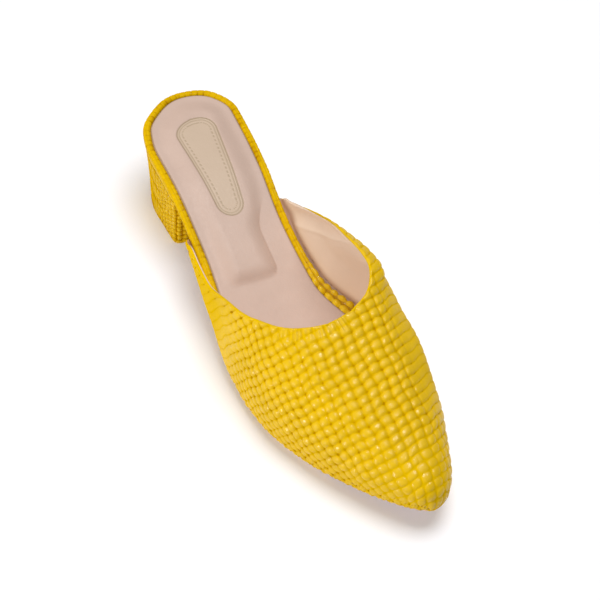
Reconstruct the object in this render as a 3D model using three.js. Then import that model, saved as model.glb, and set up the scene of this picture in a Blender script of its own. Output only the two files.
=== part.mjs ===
// Block heel mule, right shoe. Millimetres, floor at Z = 0.
// +X runs from heel to toe, +Y to the medial side and +Z up.
import * as THREE from 'three';

// Driving dimensions of the last
const LENGTH = 262; // footbed edge, back of the heel to the tip of the toe
const SEAT_HEIGHT = 46.5; // top of the sock over the floor at the back of the heel
const SEAT_DROP = 6; // fall of the heel seat from its back to the breast
const BALL_HEIGHT = 8; // top of the sock over the floor at the ball
const TOE_SPRING = 8.5; // rise of the sock from the ball to the toe

// Layers under the foot
const GAP = 0.3; // clearance between neighbouring pieces
const SOCK_THICKNESS = 1.2;
const PAD_RISE = 1.5; // cushion under the rear of the sock
const PAD_MARGIN = 4; // from the edge of the sock to the foot of the cushion
const PAD_SLOPE = 5; // width of the cushion's soft side
const PAD_END = 112; // front of the cushion
const PAD_RAMP = 10; // length of its front slope
const BED_DEPTH = 5.7; // top of the sock to the underside of the footbed, forepart
const SEAT_DEPTH = 7; // the same at the heel
const OUTSOLE_THICKNESS = 2;
const OUTSOLE_EDGE = -0.8; // outsole beyond the edge of the sock, negative inside it
const OUTSOLE_ROUND = 0.6; // rounding of the outsole's lower edge

// Footbed rim, measured outwards from the edge of the sock
const RIM_WIDTH = 4; // round the heel and waist
const RIM_WIDTH_TOE = 0.7; // inside the vamp
const RIM_RISE = 0.3; // rim over the sock
const RIM_SHOULDER = 2; // depth of the widest line of the rim
const BED_UNDERCUT = 4.2; // underside inside the sock edge, where the upper turns in
const SEAT_UNDERCUT = -2.6; // underside at the heel, where nothing turns in

// Heel block
const HEEL_TOP_EDGE = 2.6; // beyond the sock edge under the footbed
const HEEL_FOOT_EDGE = -1.6; // inside the sock edge on the floor
const HEEL_FOOT_SHIFT = 2.6; // the foot of the heel lies this much further forward at the back
const BREAST_TOP = 58; // front of the heel under the footbed
const BREAST_FOOT = 53; // front of the heel on the floor
const HEEL_FLARE = 1.35; // over 1 curves the sides in towards the floor
const HEEL_LEVELS = 8; // rings from the seat to the floor

// Vamp
const WALL = 1.8; // leather and lining together
const THROAT_X = 174; // front of the throat on the crest
const FULLNESS = 2.5; // exponent of the arched sections, 2 is an ellipse
const BULGE_DROP = 1; // widest line of the vamp under the top of the sock
const FEATHER_EDGE = 1; // where the upper meets the outsole, beyond the sock edge at the waist
const FEATHER_EDGE_TOE = -0.8; // the same over the forepart
const SPINE_END = 14; // the crest stops this far behind the tip of the toe
const SPINE_BEND = 0.86; // share of the length where the crest starts to fall back
const TOE_SLOPE = 0.38; // fall of the crest towards the toe, carried on over the tip
const TUCK_ROWS = 3; // rows from the widest line down to the feather edge
const SECTION_SAMPLES = 60; // points for measuring a section
const THROAT_STEPS = [0.4, 1, 1.9]; // stations close behind the throat, where the topline turns
const TOE_STEPS = 15; // stations from the bend of the crest to the tip of the toe

// Weave of the vamp: strips that cross squarely, with a raised pillow on each crossing
const WEAVE_ALONG = 5.2; // from pillow to pillow along the shoe
const WEAVE_ACROSS = 5.8; // the same round the vamp
const WEAVE_RELIEF = 1; // top of a pillow over the corners between pillows
const WEAVE_EDGE = 0.3; // height of the valley between two pillows, as a share of the relief
const BORDER_MERGE = 0.3; // a row nearer a border than this share of a step joins it

const OUTLINE_STEPS = 40; // stations along each side of a sheet
const HEEL_STEPS = 20; // stations along each side of the heel

// Zones along the length, as shares of it: where a change begins and where it is complete
const SEAT_FRONT = { from: 0.2, to: 0.28 }; // from the thick heel seat to the thinner forepart
const RIM_NARROWS = { from: 0.56, to: 0.7 }; // the rim goes in under the vamp
const TOE_TAPER = { from: 0.85, to: 1, keep: 0.3 }; // insets shrink to this share at the toe
const WEAVE_FADES = { from: 0.86, to: 1, keep: 0.4 }; // the pillows are flatter at the toe

// Half widths of the sock. at: share of the length, medial and lateral: distance from the axis
const PLAN = [
  { at: 0.0, medial: 1.5, lateral: -1.5 },
  { at: 0.02, medial: 17, lateral: 12.5 },
  { at: 0.06, medial: 22.5, lateral: 22.5 },
  { at: 0.12, medial: 22, lateral: 25.5 },
  { at: 0.2, medial: 20.5, lateral: 25.5 },
  { at: 0.32, medial: 18.5, lateral: 25.5 },
  { at: 0.45, medial: 20.5, lateral: 28 },
  { at: 0.58, medial: 34.5, lateral: 33.5 },
  { at: 0.7, medial: 41.5, lateral: 35 },
  { at: 0.8, medial: 37.5, lateral: 27.5 },
  { at: 0.9, medial: 28, lateral: 14 },
  { at: 0.96, medial: 21, lateral: 3.5 },
  { at: 0.99, medial: 15, lateral: -3 },
  { at: 1.0, medial: 8, lateral: -8 },
];

// Side view of the sock. at: share of the length, height: top of the sock over the floor
const CLIMB = SEAT_HEIGHT - SEAT_DROP - BALL_HEIGHT;
const SIDE = [
  { at: 0.0, height: SEAT_HEIGHT },
  { at: 0.1, height: SEAT_HEIGHT - SEAT_DROP / 2 },
  { at: 0.2, height: SEAT_HEIGHT - SEAT_DROP },
  { at: 0.35, height: BALL_HEIGHT + 0.6 * CLIMB },
  { at: 0.5, height: BALL_HEIGHT + 0.2 * CLIMB },
  { at: 0.58, height: BALL_HEIGHT + 0.05 * CLIMB },
  { at: 0.64, height: BALL_HEIGHT },
  { at: 0.76, height: BALL_HEIGHT },
  { at: 0.88, height: BALL_HEIGHT + 0.35 * TOE_SPRING },
  { at: 1.0, height: BALL_HEIGHT + TOE_SPRING },
];

// Sections of the vamp. height: crest over the widest line, ridge: crest off the axis towards medial,
// lateral and medial: how far the wall stands outside the sock edge
const CROWN = [
  { at: 0.28, height: 52.5, ridge: 7, lateral: 6.4, medial: 6.6 },
  { at: 0.42, height: 55, ridge: 8.5, lateral: 8.4, medial: 9.8 },
  { at: 0.5, height: 57, ridge: 9.5, lateral: 7.6, medial: 11 },
  { at: 0.58, height: 56, ridge: 10, lateral: 6.2, medial: 11 },
  { at: 0.66, height: 47, ridge: 9, lateral: 4.8, medial: 7.4 },
  { at: 0.76, height: 37.5, ridge: 9, lateral: 3.4, medial: 4.8 },
  { at: 0.86, height: 28.5, ridge: 8.8, lateral: 3.5, medial: 4.4 },
  { at: 0.94, height: 21.5, ridge: 8.4, lateral: 3.8, medial: 4.4 },
  { at: 1.0, height: 18.5, ridge: 8, lateral: 3.4, medial: 3.4 },
];

// Topline. at: share of the way down from the crest to the widest line, over 1 where it dips under that
// line, lateral and medial: distance behind the throat
const TAB_END = 1.4;
const TOPLINE = [
  { at: 0.0, lateral: 0, medial: 0 },
  { at: 0.15, lateral: 1.5, medial: 5.5 },
  { at: 0.35, lateral: 7, medial: 24 },
  { at: 0.55, lateral: 19.5, medial: 52.5 },
  { at: 0.75, lateral: 42, medial: 73 },
  { at: 0.9, lateral: 64, medial: 88.5 },
  { at: 1.0, lateral: 90, medial: 98.5 },
  { at: TAB_END, lateral: 95.5, medial: 102.5 },
];

// Monotone cubic curve through the points, flat beyond its ends
function smoothCurve(xs, ys) {
  const last = xs.length - 1;
  const step = xs.slice(1).map((x, i) => x - xs[i]);
  const slope = step.map((h, i) => (ys[i + 1] - ys[i]) / h);
  const endTangent = (h0, h1, s0, s1) => {
    const value = ((2 * h0 + h1) * s0 - h0 * s1) / (h0 + h1);
    if (value * s0 <= 0) return 0;
    return s0 * s1 <= 0 && Math.abs(value) > 3 * Math.abs(s0) ? 3 * s0 : value;
  };
  const tangent = xs.map((_, i) => {
    if (i === 0) return endTangent(step[0], step[1], slope[0], slope[1]);
    if (i === last) return endTangent(step[last - 1], step[last - 2], slope[last - 1], slope[last - 2]);
    if (slope[i - 1] * slope[i] <= 0) return 0;
    const before = 2 * step[i] + step[i - 1];
    const after = step[i] + 2 * step[i - 1];
    return (before + after) / (before / slope[i - 1] + after / slope[i]);
  });
  return (value) => {
    const x = THREE.MathUtils.clamp(value, xs[0], xs[last]);
    let i = 0;
    while (i < last - 1 && x > xs[i + 1]) i += 1;
    const t = (x - xs[i]) / step[i];
    const s = 1 - t;
    return (1 + 2 * t) * s * s * ys[i] + t * s * s * step[i] * tangent[i]
      + t * t * (3 - 2 * t) * ys[i + 1] - t * t * s * step[i] * tangent[i + 1];
  };
}

const column = (rows, name) => rows.map((row) => row[name]);
const curveOf = (rows, name) => smoothCurve(column(rows, 'at'), column(rows, name));

// A turn from 0 at the heel to 1 at the toe that crowds towards both ends, so that both come out round
const turnAt = (share) => Math.acos(THREE.MathUtils.clamp(1 - 2 * share, -1, 1)) / Math.PI;
const shareAt = (turn) => (1 - Math.cos(Math.PI * turn)) / 2;

const planTurns = column(PLAN, 'at').map(turnAt);
const medialEdge = smoothCurve(planTurns, column(PLAN, 'medial'));
const lateralEdge = smoothCurve(planTurns, column(PLAN, 'lateral'));
const sideCurve = curveOf(SIDE, 'height');
const sockHeight = (x) => sideCurve(x / LENGTH);

const MEDIAL = 1;
const LATERAL = -1;
const NORMAL_STEP = 0.004; // turn to each side for measuring a direction

// Point of the sock edge, going on along the other side beyond either end
function edgePoint(turn, side) {
  const folded = turn < 0 ? -turn : turn > 1 ? 2 - turn : turn;
  const at = folded === turn ? side : -side;
  const y = at === MEDIAL ? medialEdge(folded) : -lateralEdge(folded);
  return new THREE.Vector2(shareAt(folded) * LENGTH, y);
}

// Outward direction of the edge in plan
function edgeNormal(turn, side) {
  const along = edgePoint(turn + NORMAL_STEP, side).sub(edgePoint(turn - NORMAL_STEP, side));
  return new THREE.Vector2(-along.y * side, along.x * side).normalize();
}

const offsetPoint = (turn, side, offset) =>
  edgePoint(turn, side).addScaledVector(edgeNormal(turn, side), offset);

// How far a zone's change has come at a distance from the heel, 0 before it and 1 after it
const passed = (zone, x) => THREE.MathUtils.smoothstep(x / LENGTH, zone.from, zone.to);

// Heights of the layers at a distance from the heel
const seatShare = (x) => 1 - passed(SEAT_FRONT, x);
const bedBottom = (x) => sockHeight(x) - BED_DEPTH - (SEAT_DEPTH - BED_DEPTH) * seatShare(x);
const bedTop = (x) => sockHeight(x) - SOCK_THICKNESS - GAP;
const outsoleTop = (x) => bedBottom(x) - GAP;
const outsoleBottom = (x) => Math.max(outsoleTop(x) - OUTSOLE_THICKNESS, 0);

// Closed body from triangles over shared vertices, turned so that its faces point out
function solid(vertices, faces) {
  const volume = faces.reduce((sum, [a, b, c]) => {
    const normal = new THREE.Vector3().crossVectors(vertices[b], vertices[c]);
    return sum + vertices[a].dot(normal);
  }, 0);
  const outward = volume > 0 ? faces : faces.map(([a, b, c]) => [a, c, b]);
  const geometry = new THREE.BufferGeometry();
  const coordinates = vertices.flatMap((v) => v.toArray());
  geometry.setAttribute('position', new THREE.Float32BufferAttribute(coordinates, 3));
  geometry.setIndex(outward.flat());
  geometry.computeVertexNormals();
  return geometry;
}

// Solid from a stack of rings with equal counts. Each ring runs along one side and back along the other,
// so the two ends of the stack are closed by a ladder between the sides.
function stackRings(rings) {
  const count = rings[0].length;
  const vertices = rings.flat();
  const faces = [];
  for (let level = 0; level + 1 < rings.length; level += 1) {
    for (let i = 0; i < count; i += 1) {
      const a = level * count + i;
      const b = level * count + ((i + 1) % count);
      faces.push([a, b, b + count], [a, b + count, a + count]);
    }
  }
  const closeRing = (start, flip) => {
    const add = (a, b, c) => faces.push((flip ? [a, c, b] : [a, b, c]).map((i) => start + i));
    let low = 0;
    let high = count - 1;
    while (high - low > 1) {
      add(low, high, low + 1);
      low += 1;
      if (high - low > 1) {
        add(low, high, high - 1);
        high -= 1;
      }
    }
  };
  closeRing(0, false);
  closeRing((rings.length - 1) * count, true);
  return solid(vertices, faces);
}

// Ring round the plan from a start distance to the toe, along the medial side and back along the lateral.
// offset and height are functions of the distance from the heel.
function planRing(offset, height, start = 0) {
  const firstTurn = turnAt(start / LENGTH);
  const place = (i, side) => {
    const turn = THREE.MathUtils.lerp(firstTurn, 1, i / OUTLINE_STEPS);
    const p = offsetPoint(turn, side, offset(shareAt(turn) * LENGTH));
    const x = start > 0 ? Math.max(p.x, start) : p.x;
    return new THREE.Vector3(x, p.y, height(x));
  };
  const ring = [];
  for (let i = 0; i <= OUTLINE_STEPS; i += 1) ring.push(place(i, MEDIAL));
  const lastStep = start > 0 ? 0 : 1;
  for (let i = OUTLINE_STEPS - 1; i >= lastStep; i -= 1) ring.push(place(i, LATERAL));
  return ring;
}

// Outsole: rubber sheet from the breast of the heel to the toe
function makeOutsole() {
  const start = BREAST_TOP + GAP;
  return stackRings([
    planRing(() => OUTSOLE_EDGE - OUTSOLE_ROUND, outsoleBottom, start),
    planRing(() => OUTSOLE_EDGE, (x) => outsoleBottom(x) + OUTSOLE_ROUND, start),
    planRing(() => OUTSOLE_EDGE, outsoleTop, start),
  ]);
}

// Heel: block under the seat, narrowing towards the floor, with a flat breast
function makeHeel() {
  const ring = (level) => {
    const down = level / HEEL_LEVELS;
    const bend = 1 - (1 - down) ** HEEL_FLARE;
    const offset = THREE.MathUtils.lerp(HEEL_TOP_EDGE, HEEL_FOOT_EDGE, bend);
    const breast = THREE.MathUtils.lerp(BREAST_TOP, BREAST_FOOT, bend);
    const shift = HEEL_FOOT_SHIFT * bend;
    const place = (i, side) => {
      const turn = turnAt(breast / LENGTH) * (i / HEEL_STEPS);
      const p = offsetPoint(turn, side, offset);
      const x = i === HEEL_STEPS ? breast : p.x + shift * (1 - i / HEEL_STEPS);
      return new THREE.Vector3(x, p.y, outsoleTop(x) * (1 - down));
    };
    const points = [];
    for (let i = HEEL_STEPS; i >= 0; i -= 1) points.push(place(i, MEDIAL));
    for (let i = 1; i <= HEEL_STEPS; i += 1) points.push(place(i, LATERAL));
    return points;
  };
  return stackRings(Array.from({ length: HEEL_LEVELS + 1 }, (_, level) => ring(level)));
}

// Footbed: board with a raised rim round the recess for the sock
function makeFootbed() {
  const rim = (x) => THREE.MathUtils.lerp(RIM_WIDTH, RIM_WIDTH_TOE, passed(RIM_NARROWS, x));
  const undercut = (x) => -THREE.MathUtils.lerp(BED_UNDERCUT, SEAT_UNDERCUT, seatShare(x));
  const crest = (x) => (rim(x) + GAP) / 2;
  return stackRings([
    planRing(undercut, bedBottom),
    planRing(rim, (x) => sockHeight(x) - RIM_SHOULDER),
    planRing((x) => rim(x) - GAP, (x) => sockHeight(x) - RIM_RISE),
    planRing(crest, (x) => sockHeight(x) + RIM_RISE),
    planRing(() => GAP, sockHeight),
    planRing(() => GAP, bedTop),
  ]);
}

// Sock: sheet with a soft cushion under the heel and waist
function makeSock() {
  const padShare = (x) => 1 - THREE.MathUtils.smoothstep(x, PAD_END - PAD_RAMP, PAD_END);
  const padTop = (x) => sockHeight(x) + PAD_RISE * padShare(x);
  const underside = (x) => bedTop(x) + GAP;
  const inset = (depth) => (x) => -depth * THREE.MathUtils.lerp(1, TOE_TAPER.keep, passed(TOE_TAPER, x));
  return stackRings([
    planRing(() => 0, underside),
    planRing(() => 0, sockHeight),
    planRing(inset(PAD_MARGIN), sockHeight),
    planRing(inset(PAD_MARGIN + PAD_SLOPE), padTop),
  ]);
}

const crown = {
  height: curveOf(CROWN, 'height'),
  ridge: curveOf(CROWN, 'ridge'),
  [LATERAL]: curveOf(CROWN, 'lateral'),
  [MEDIAL]: curveOf(CROWN, 'medial'),
};
const topDrop = {
  [LATERAL]: smoothCurve(column(TOPLINE, 'lateral'), column(TOPLINE, 'at')),
  [MEDIAL]: smoothCurve(column(TOPLINE, 'medial'), column(TOPLINE, 'at')),
};
const tabEnd = {
  [LATERAL]: THROAT_X - curveOf(TOPLINE, 'lateral')(TAB_END),
  [MEDIAL]: THROAT_X - curveOf(TOPLINE, 'medial')(TAB_END),
};
const TUCK_DEPTH = BED_DEPTH - BULGE_DROP; // widest line of the vamp to the feather edge

// Outer face of the vamp on one side. angle: 0 on the widest line, a quarter turn on the crest,
// and negative where the wall turns in to the feather edge
function vampPoint(turn, side, angle) {
  const share = shareAt(turn);
  const bulge = crown[side](share);
  const normal = edgeNormal(turn, side);
  const wide = edgePoint(turn, side).addScaledVector(normal, bulge);
  const fallBack = Math.max(0, (share - SPINE_BEND) / (1 - SPINE_BEND)) ** 2 * SPINE_END;
  const spine = new THREE.Vector2(share * LENGTH - fallBack, crown.ridge(share));
  const up = Math.max(angle, 0);
  const down = Math.max(-angle, 0);
  const across = Math.abs(Math.cos(up)) ** (2 / FULLNESS);
  const lift = Math.sin(up) ** (2 / FULLNESS);
  const feather = THREE.MathUtils.lerp(FEATHER_EDGE, FEATHER_EDGE_TOE, passed(RIM_NARROWS, share * LENGTH));
  const p = spine.lerp(wide, across).addScaledVector(normal, (feather - bulge) * (1 - Math.cos(down)));
  const crest = crown.height(share) - TOE_SLOPE * Math.max(p.x - share * LENGTH + fallBack, 0);
  const z = sockHeight(p.x) - BULGE_DROP + crest * lift - TUCK_DEPTH * Math.sin(down);
  return new THREE.Vector3(p.x, p.y, z);
}

// One section from the crest down to the widest line: how far it has run in all, along the shoe and across
function measureSection(turn, side) {
  let last = vampPoint(turn, side, Math.PI / 2);
  const path = [{ angle: Math.PI / 2, run: 0, along: last.x - THROAT_X, across: 0 }];
  for (let i = 1; i <= SECTION_SAMPLES; i += 1) {
    const angle = (Math.PI / 2) * (1 - i / SECTION_SAMPLES);
    const point = vampPoint(turn, side, angle);
    const move = point.clone().sub(last);
    const length = move.length();
    const plan = Math.hypot(move.x, move.y);
    const before = path[i - 1];
    path.push({
      angle,
      run: before.run + length,
      along: before.along + length * (move.x / plan),
      across: before.across + length * Math.abs(move.y / plan),
    });
    last = point;
  }
  return path;
}

// The place on a measured section where one of its quantities has a given value
function findOnSection(path, name, value) {
  const rising = path[1][name] > path[0][name];
  let i = 1;
  while (i < SECTION_SAMPLES && (rising ? path[i][name] < value : path[i][name] > value)) i += 1;
  const [a, b] = [path[i - 1], path[i]];
  const part = (value - a[name]) / (b[name] - a[name]);
  const mix = (key) => THREE.MathUtils.lerp(a[key], b[key], part);
  return { angle: mix('angle'), run: mix('run'), along: mix('along'), across: mix('across') };
}

// Height of the weave over its middle level
function weaveHeight(along, across, share) {
  const strip = (distance, pitch) =>
    1 - Math.abs(2 * THREE.MathUtils.euclideanModulo(distance / pitch, 1) - 1);
  const a = strip(along, WEAVE_ALONG);
  const b = strip(across, WEAVE_ACROSS);
  const pillow = a * b + WEAVE_EDGE * (a + b - 2 * a * b);
  const fade = THREE.MathUtils.lerp(1, WEAVE_FADES.keep, passed(WEAVE_FADES, share * LENGTH));
  return (pillow - 0.5) * WEAVE_RELIEF * fade;
}

// Gives an open sheet a wall: its outer face is raised as given, a second sheet lies inside it,
// and a strip runs along the whole border
function thicken(sheet, raise, faces, wall) {
  const normals = sheet.map(() => new THREE.Vector3());
  const borders = new Map();
  for (const face of faces) {
    const [a, b, c] = face.map((i) => sheet[i]);
    const normal = b.clone().sub(a).cross(c.clone().sub(a));
    face.forEach((i) => normals[i].add(normal));
    face.forEach((i, k) => {
      const next = face[(k + 1) % 3];
      if (!borders.delete(`${next},${i}`)) borders.set(`${i},${next}`, [i, next]);
    });
  }
  normals.forEach((normal) => normal.normalize());
  const outer = sheet.map((p, i) => p.clone().addScaledVector(normals[i], raise[i]));
  const inner = sheet.map((p, i) => p.clone().addScaledVector(normals[i], -wall));
  const count = sheet.length;
  const closed = [...faces, ...faces.map(([a, b, c]) => [a + count, c + count, b + count])];
  for (const [a, b] of borders.values()) closed.push([b, a, a + count], [b, a + count, b + count]);
  return solid([...outer, ...inner], closed);
}

// Stations of one side, from the low end of the topline to the last one before the tip of the toe. They lie
// by turns in a valley of the weave and on the tops of its pillows.
function vampStations(side) {
  const step = WEAVE_ALONG / 2;
  const turnOf = (x) => turnAt(x / LENGTH);
  const reach = THROAT_X - tabEnd[side];
  const distances = THROAT_STEPS.map((distance) => ({ distance, valley: false }));
  for (let n = 1; (n + 0.5) * step < reach; n += 1) {
    distances.push({ distance: n * step, valley: n % 2 === 0 });
  }
  distances.push({ distance: reach, valley: true });
  const behind = distances.reverse().map(({ distance, valley }) => {
    const topAngle = (1 - topDrop[side](distance)) * (Math.PI / 2);
    return { side, turn: turnOf(THROAT_X - distance), topAngle, valley };
  });
  const ahead = [];
  const straightSteps = Math.ceil((SPINE_BEND * LENGTH - THROAT_X) / step);
  for (let n = 0; n < straightSteps + TOE_STEPS; n += 1) {
    const straight = turnOf(THROAT_X + Math.min(n, straightSteps) * step);
    const turn = THREE.MathUtils.lerp(straight, 1, Math.max(n - straightSteps, 0) / TOE_STEPS);
    ahead.push({ side, turn, topAngle: Math.PI / 2, valley: n % 2 === 0 });
  }
  return [...behind, ...ahead];
}

// Upper: one hollow vamp with its weave raised, open at the throat, the back and underneath
function makeUpper() {
  const lateral = vampStations(LATERAL);
  const tip = { side: MEDIAL, turn: 1, topAngle: Math.PI / 2, valley: true };
  const stations = [...lateral, tip, ...vampStations(MEDIAL).reverse()];
  const paths = stations.map(({ turn, side }) => measureSection(turn, side));
  const rowStep = WEAVE_ACROSS / 2;
  const rowCount = 2 * Math.ceil(Math.max(...paths.map((path) => path[SECTION_SAMPLES].run)) / WEAVE_ACROSS);

  const sheet = [];
  const raise = [];
  const addVertex = ({ turn, side }, angle, height) => {
    raise.push(height);
    return sheet.push(vampPoint(turn, side, angle)) - 1;
  };

  // Each column of vertices runs from the topline or the crest down to the feather edge. Rows beyond a
  // border stay on it, and in a valley only every other row has a vertex of its own. The crest is shared:
  // a medial column starts on the crest of its lateral twin.
  const columns = [];
  stations.forEach((station, i) => {
    const path = paths[i];
    const top = findOnSection(path, 'angle', Math.max(station.topAngle, 0)).run;
    const wide = path[SECTION_SAMPLES].run;
    const shared = i > lateral.length && station.topAngle === Math.PI / 2;
    const topVertex = shared ? columns[2 * lateral.length - i][0] : addVertex(station, station.topAngle, 0);
    const wideVertex = station.topAngle > 0 ? addVertex(station, 0, 0) : topVertex;
    const column = [];
    for (let row = 0; row <= rowCount; row += 1) {
      const run = row * rowStep;
      if (station.valley && row % 2 === 1) {
        column.push(column[row - 1]);
      } else if (run < top + BORDER_MERGE * rowStep) {
        column.push(topVertex);
      } else if (run > wide - BORDER_MERGE * rowStep) {
        column.push(wideVertex);
      } else {
        const { angle, along, across } = findOnSection(path, 'run', run);
        column.push(addVertex(station, angle, weaveHeight(along, across, shareAt(station.turn))));
      }
    }
    for (let row = 1; row <= TUCK_ROWS; row += 1) {
      const angle = (-row / TUCK_ROWS) * (Math.PI / 2);
      column.push(angle < station.topAngle ? addVertex(station, angle, 0) : topVertex);
    }
    columns.push(column);
  });

  const faces = [];
  const addFace = (...face) => {
    if (new Set(face).size === 3) faces.push(face);
  };
  for (let i = 0; i + 1 < columns.length; i += 1) {
    for (let row = 0; row + 1 < columns[i].length; row += 1) {
      const [a, b] = [columns[i][row], columns[i][row + 1]];
      const [c, d] = [columns[i + 1][row + 1], columns[i + 1][row]];
      if (sheet[a].distanceTo(sheet[c]) < sheet[b].distanceTo(sheet[d])) {
        addFace(a, b, c);
        addFace(a, c, d);
      } else {
        addFace(a, b, d);
        addFace(b, c, d);
      }
    }
  }
  return thicken(sheet, raise, faces, WALL);
}

const YELLOW = { color: 0xe6bb22, roughness: 0.42, metalness: 0 };
const NUDE_LEATHER = { color: 0xdcc0ae, roughness: 0.55, metalness: 0 };
const NUDE_RUBBER = { color: 0xd6b8a8, roughness: 0.7, metalness: 0 };

const mule = new THREE.Group();

function addPiece(name, geometry, finish) {
  const piece = new THREE.Mesh(geometry, new THREE.MeshStandardMaterial(finish));
  piece.name = name;
  mule.add(piece);
}

addPiece('outsole', makeOutsole(), NUDE_RUBBER);
addPiece('heel', makeHeel(), YELLOW);
addPiece('footbed', makeFootbed(), YELLOW);
addPiece('sock', makeSock(), NUDE_LEATHER);
addPiece('upper', makeUpper(), YELLOW);

// The origin is on the floor under the middle of the shoe
const middle = new THREE.Box3().setFromObject(mule).getCenter(new THREE.Vector3());
mule.position.set(-middle.x, -middle.y, 0);

export default mule;
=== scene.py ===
"""Block heel mule, right shoe: the looks of each piece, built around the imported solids.

Shapes are worked out in millimetres in the frame of the last: x from the back of the heel to the toe,
y to the medial side, z up from the floor. to_frame() turns them into metres in the frame of the part.
A station is a distance from the heel along x. A zone is a pair of values: a change begins at the first
and is complete at the second.
"""
import math

import bmesh
import bpy
import numpy as np
from mathutils import Matrix, Vector, kdtree


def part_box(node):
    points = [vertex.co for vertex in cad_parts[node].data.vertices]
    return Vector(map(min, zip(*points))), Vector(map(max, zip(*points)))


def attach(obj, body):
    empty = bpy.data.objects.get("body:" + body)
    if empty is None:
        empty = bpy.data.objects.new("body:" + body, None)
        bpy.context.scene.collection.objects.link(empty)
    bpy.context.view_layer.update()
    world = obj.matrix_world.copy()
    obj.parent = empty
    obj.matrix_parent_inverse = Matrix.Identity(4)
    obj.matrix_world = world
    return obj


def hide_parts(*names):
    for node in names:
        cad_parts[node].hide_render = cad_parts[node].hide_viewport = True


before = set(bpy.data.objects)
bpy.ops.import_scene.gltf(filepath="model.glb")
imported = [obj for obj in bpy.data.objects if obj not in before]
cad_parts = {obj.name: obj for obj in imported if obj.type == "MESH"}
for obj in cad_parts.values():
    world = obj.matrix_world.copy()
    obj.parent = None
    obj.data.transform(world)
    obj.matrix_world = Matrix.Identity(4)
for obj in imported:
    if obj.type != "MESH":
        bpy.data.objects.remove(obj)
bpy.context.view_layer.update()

MM = 0.001
MEDIAL = 1
LATERAL = -1
CREST = np.pi / 2  # angle of the crest on a section of the vamp
TINY = 1e-9  # keeps a division by a length of zero from failing
SEED = 11


def table(names, rows):
    """A short table as one array for each named column."""
    return dict(zip(names.split(), np.array(rows, float).T))


# Driving sizes of the last and the layers, as in the part
LENGTH = 262
SEAT_HEIGHT = 46.5
SEAT_DROP = 6
BALL_HEIGHT = 8
TOE_SPRING = 8.5
GAP = 0.3
SOCK_THICKNESS = 1.2
PAD_RISE = 1.5
PAD_MARGIN = 4
PAD_SLOPE = 5
PAD_END = 112
BED_DEPTH = 5.7
SEAT_DEPTH = 7
OUTSOLE_THICKNESS = 2
OUTSOLE_EDGE = -0.8
OUTSOLE_ROUND = 0.6
RIM_WIDTH = 4
RIM_WIDTH_TOE = 0.7
RIM_RISE = 0.3
RIM_SHOULDER = 2
BED_UNDERCUT = 4.2
SEAT_UNDERCUT = -2.6
HEEL_TOP_EDGE = 2.6
HEEL_FOOT_EDGE = -1.6
HEEL_FOOT_SHIFT = 2.6
BREAST_TOP = 58
BREAST_FOOT = 54.8
HEEL_FLARE = 1.35
WALL = 1.8
THROAT_X = 174
FULLNESS = 2.5
BULGE_DROP = 1
FEATHER_EDGE = 1
FEATHER_EDGE_TOE = -0.8
SPINE_END = 14
SPINE_BEND = 0.86
TAB_END = 1.4
TOE_SLOPE = 0.38
TUCK_DEPTH = BED_DEPTH - BULGE_DROP
WEAVE_ALONG = 5.2
WEAVE_ACROSS = 5.8
SEAT_FRONT = (0.2, 0.28)
RIM_NARROWS = (0.56, 0.7)

# Half widths of the sock
PLAN = table("at medial lateral", [
    (0.0, 1.5, -1.5),
    (0.02, 17, 12.5),
    (0.06, 22.5, 22.5),
    (0.12, 22, 25.5),
    (0.2, 20.5, 25.5),
    (0.32, 18.5, 25.5),
    (0.45, 20.5, 28),
    (0.58, 34.5, 33.5),
    (0.7, 41.5, 35),
    (0.8, 37.5, 27.5),
    (0.9, 28, 14),
    (0.96, 21, 3.5),
    (0.99, 15, -3),
    (1.0, 8, -8),
])
# Side view of the sock
CLIMB = SEAT_HEIGHT - SEAT_DROP - BALL_HEIGHT
SIDE = table("at height", [
    (0.0, SEAT_HEIGHT),
    (0.1, SEAT_HEIGHT - SEAT_DROP / 2),
    (0.2, SEAT_HEIGHT - SEAT_DROP),
    (0.35, BALL_HEIGHT + 0.6 * CLIMB),
    (0.5, BALL_HEIGHT + 0.2 * CLIMB),
    (0.58, BALL_HEIGHT + 0.05 * CLIMB),
    (0.64, BALL_HEIGHT),
    (0.76, BALL_HEIGHT),
    (0.88, BALL_HEIGHT + 0.35 * TOE_SPRING),
    (1.0, BALL_HEIGHT + TOE_SPRING),
])
# Sections of the vamp: the crest's height, its place off the axis, and how far the walls stand out
CROWN = table("at height ridge lateral medial", [
    (0.28, 52.5, 7, 6.4, 6.6),
    (0.42, 55, 8.5, 8.4, 9.8),
    (0.5, 57, 9.5, 7.6, 11),
    (0.58, 56, 10, 6.2, 11),
    (0.66, 47, 9, 4.8, 7.4),
    (0.76, 37.5, 9, 3.4, 4.8),
    (0.86, 28.5, 8.8, 3.5, 4.4),
    (0.94, 21.5, 8.4, 3.8, 4.4),
    (1.0, 18.5, 8, 3.4, 3.4),
])
# Topline, closer to the photo than in the part: share of the way down, and distance behind the throat
TOPLINE = table("at lateral medial", [
    (0.0, 0, 0),
    (0.15, 1.5, 5.5),
    (0.35, 6.6, 24),
    (0.55, 18.8, 52.5),
    (0.75, 40.7, 70.7),
    (0.9, 60.8, 86.3),
    (0.95, 75, 92.8),
    (1.0, 91.5, 100),
    (TAB_END, 95.5, 103),
])
# How far the throat's edge lies ahead of a straight one, by the share of the way down to medial
THROAT_BEND = table("turn shift", [
    (-0.5, 0),
    (-0.3, 0.2),
    (-0.17, 0.5),
    (-0.1, 0.2),
    (-0.05, -0.8),
    (0.0, -2.2),
    (0.05, -2.8),
    (0.12, -2.6),
    (0.2, -1.7),
    (0.3, -0.6),
    (0.4, 0),
])


# Curves

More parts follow.
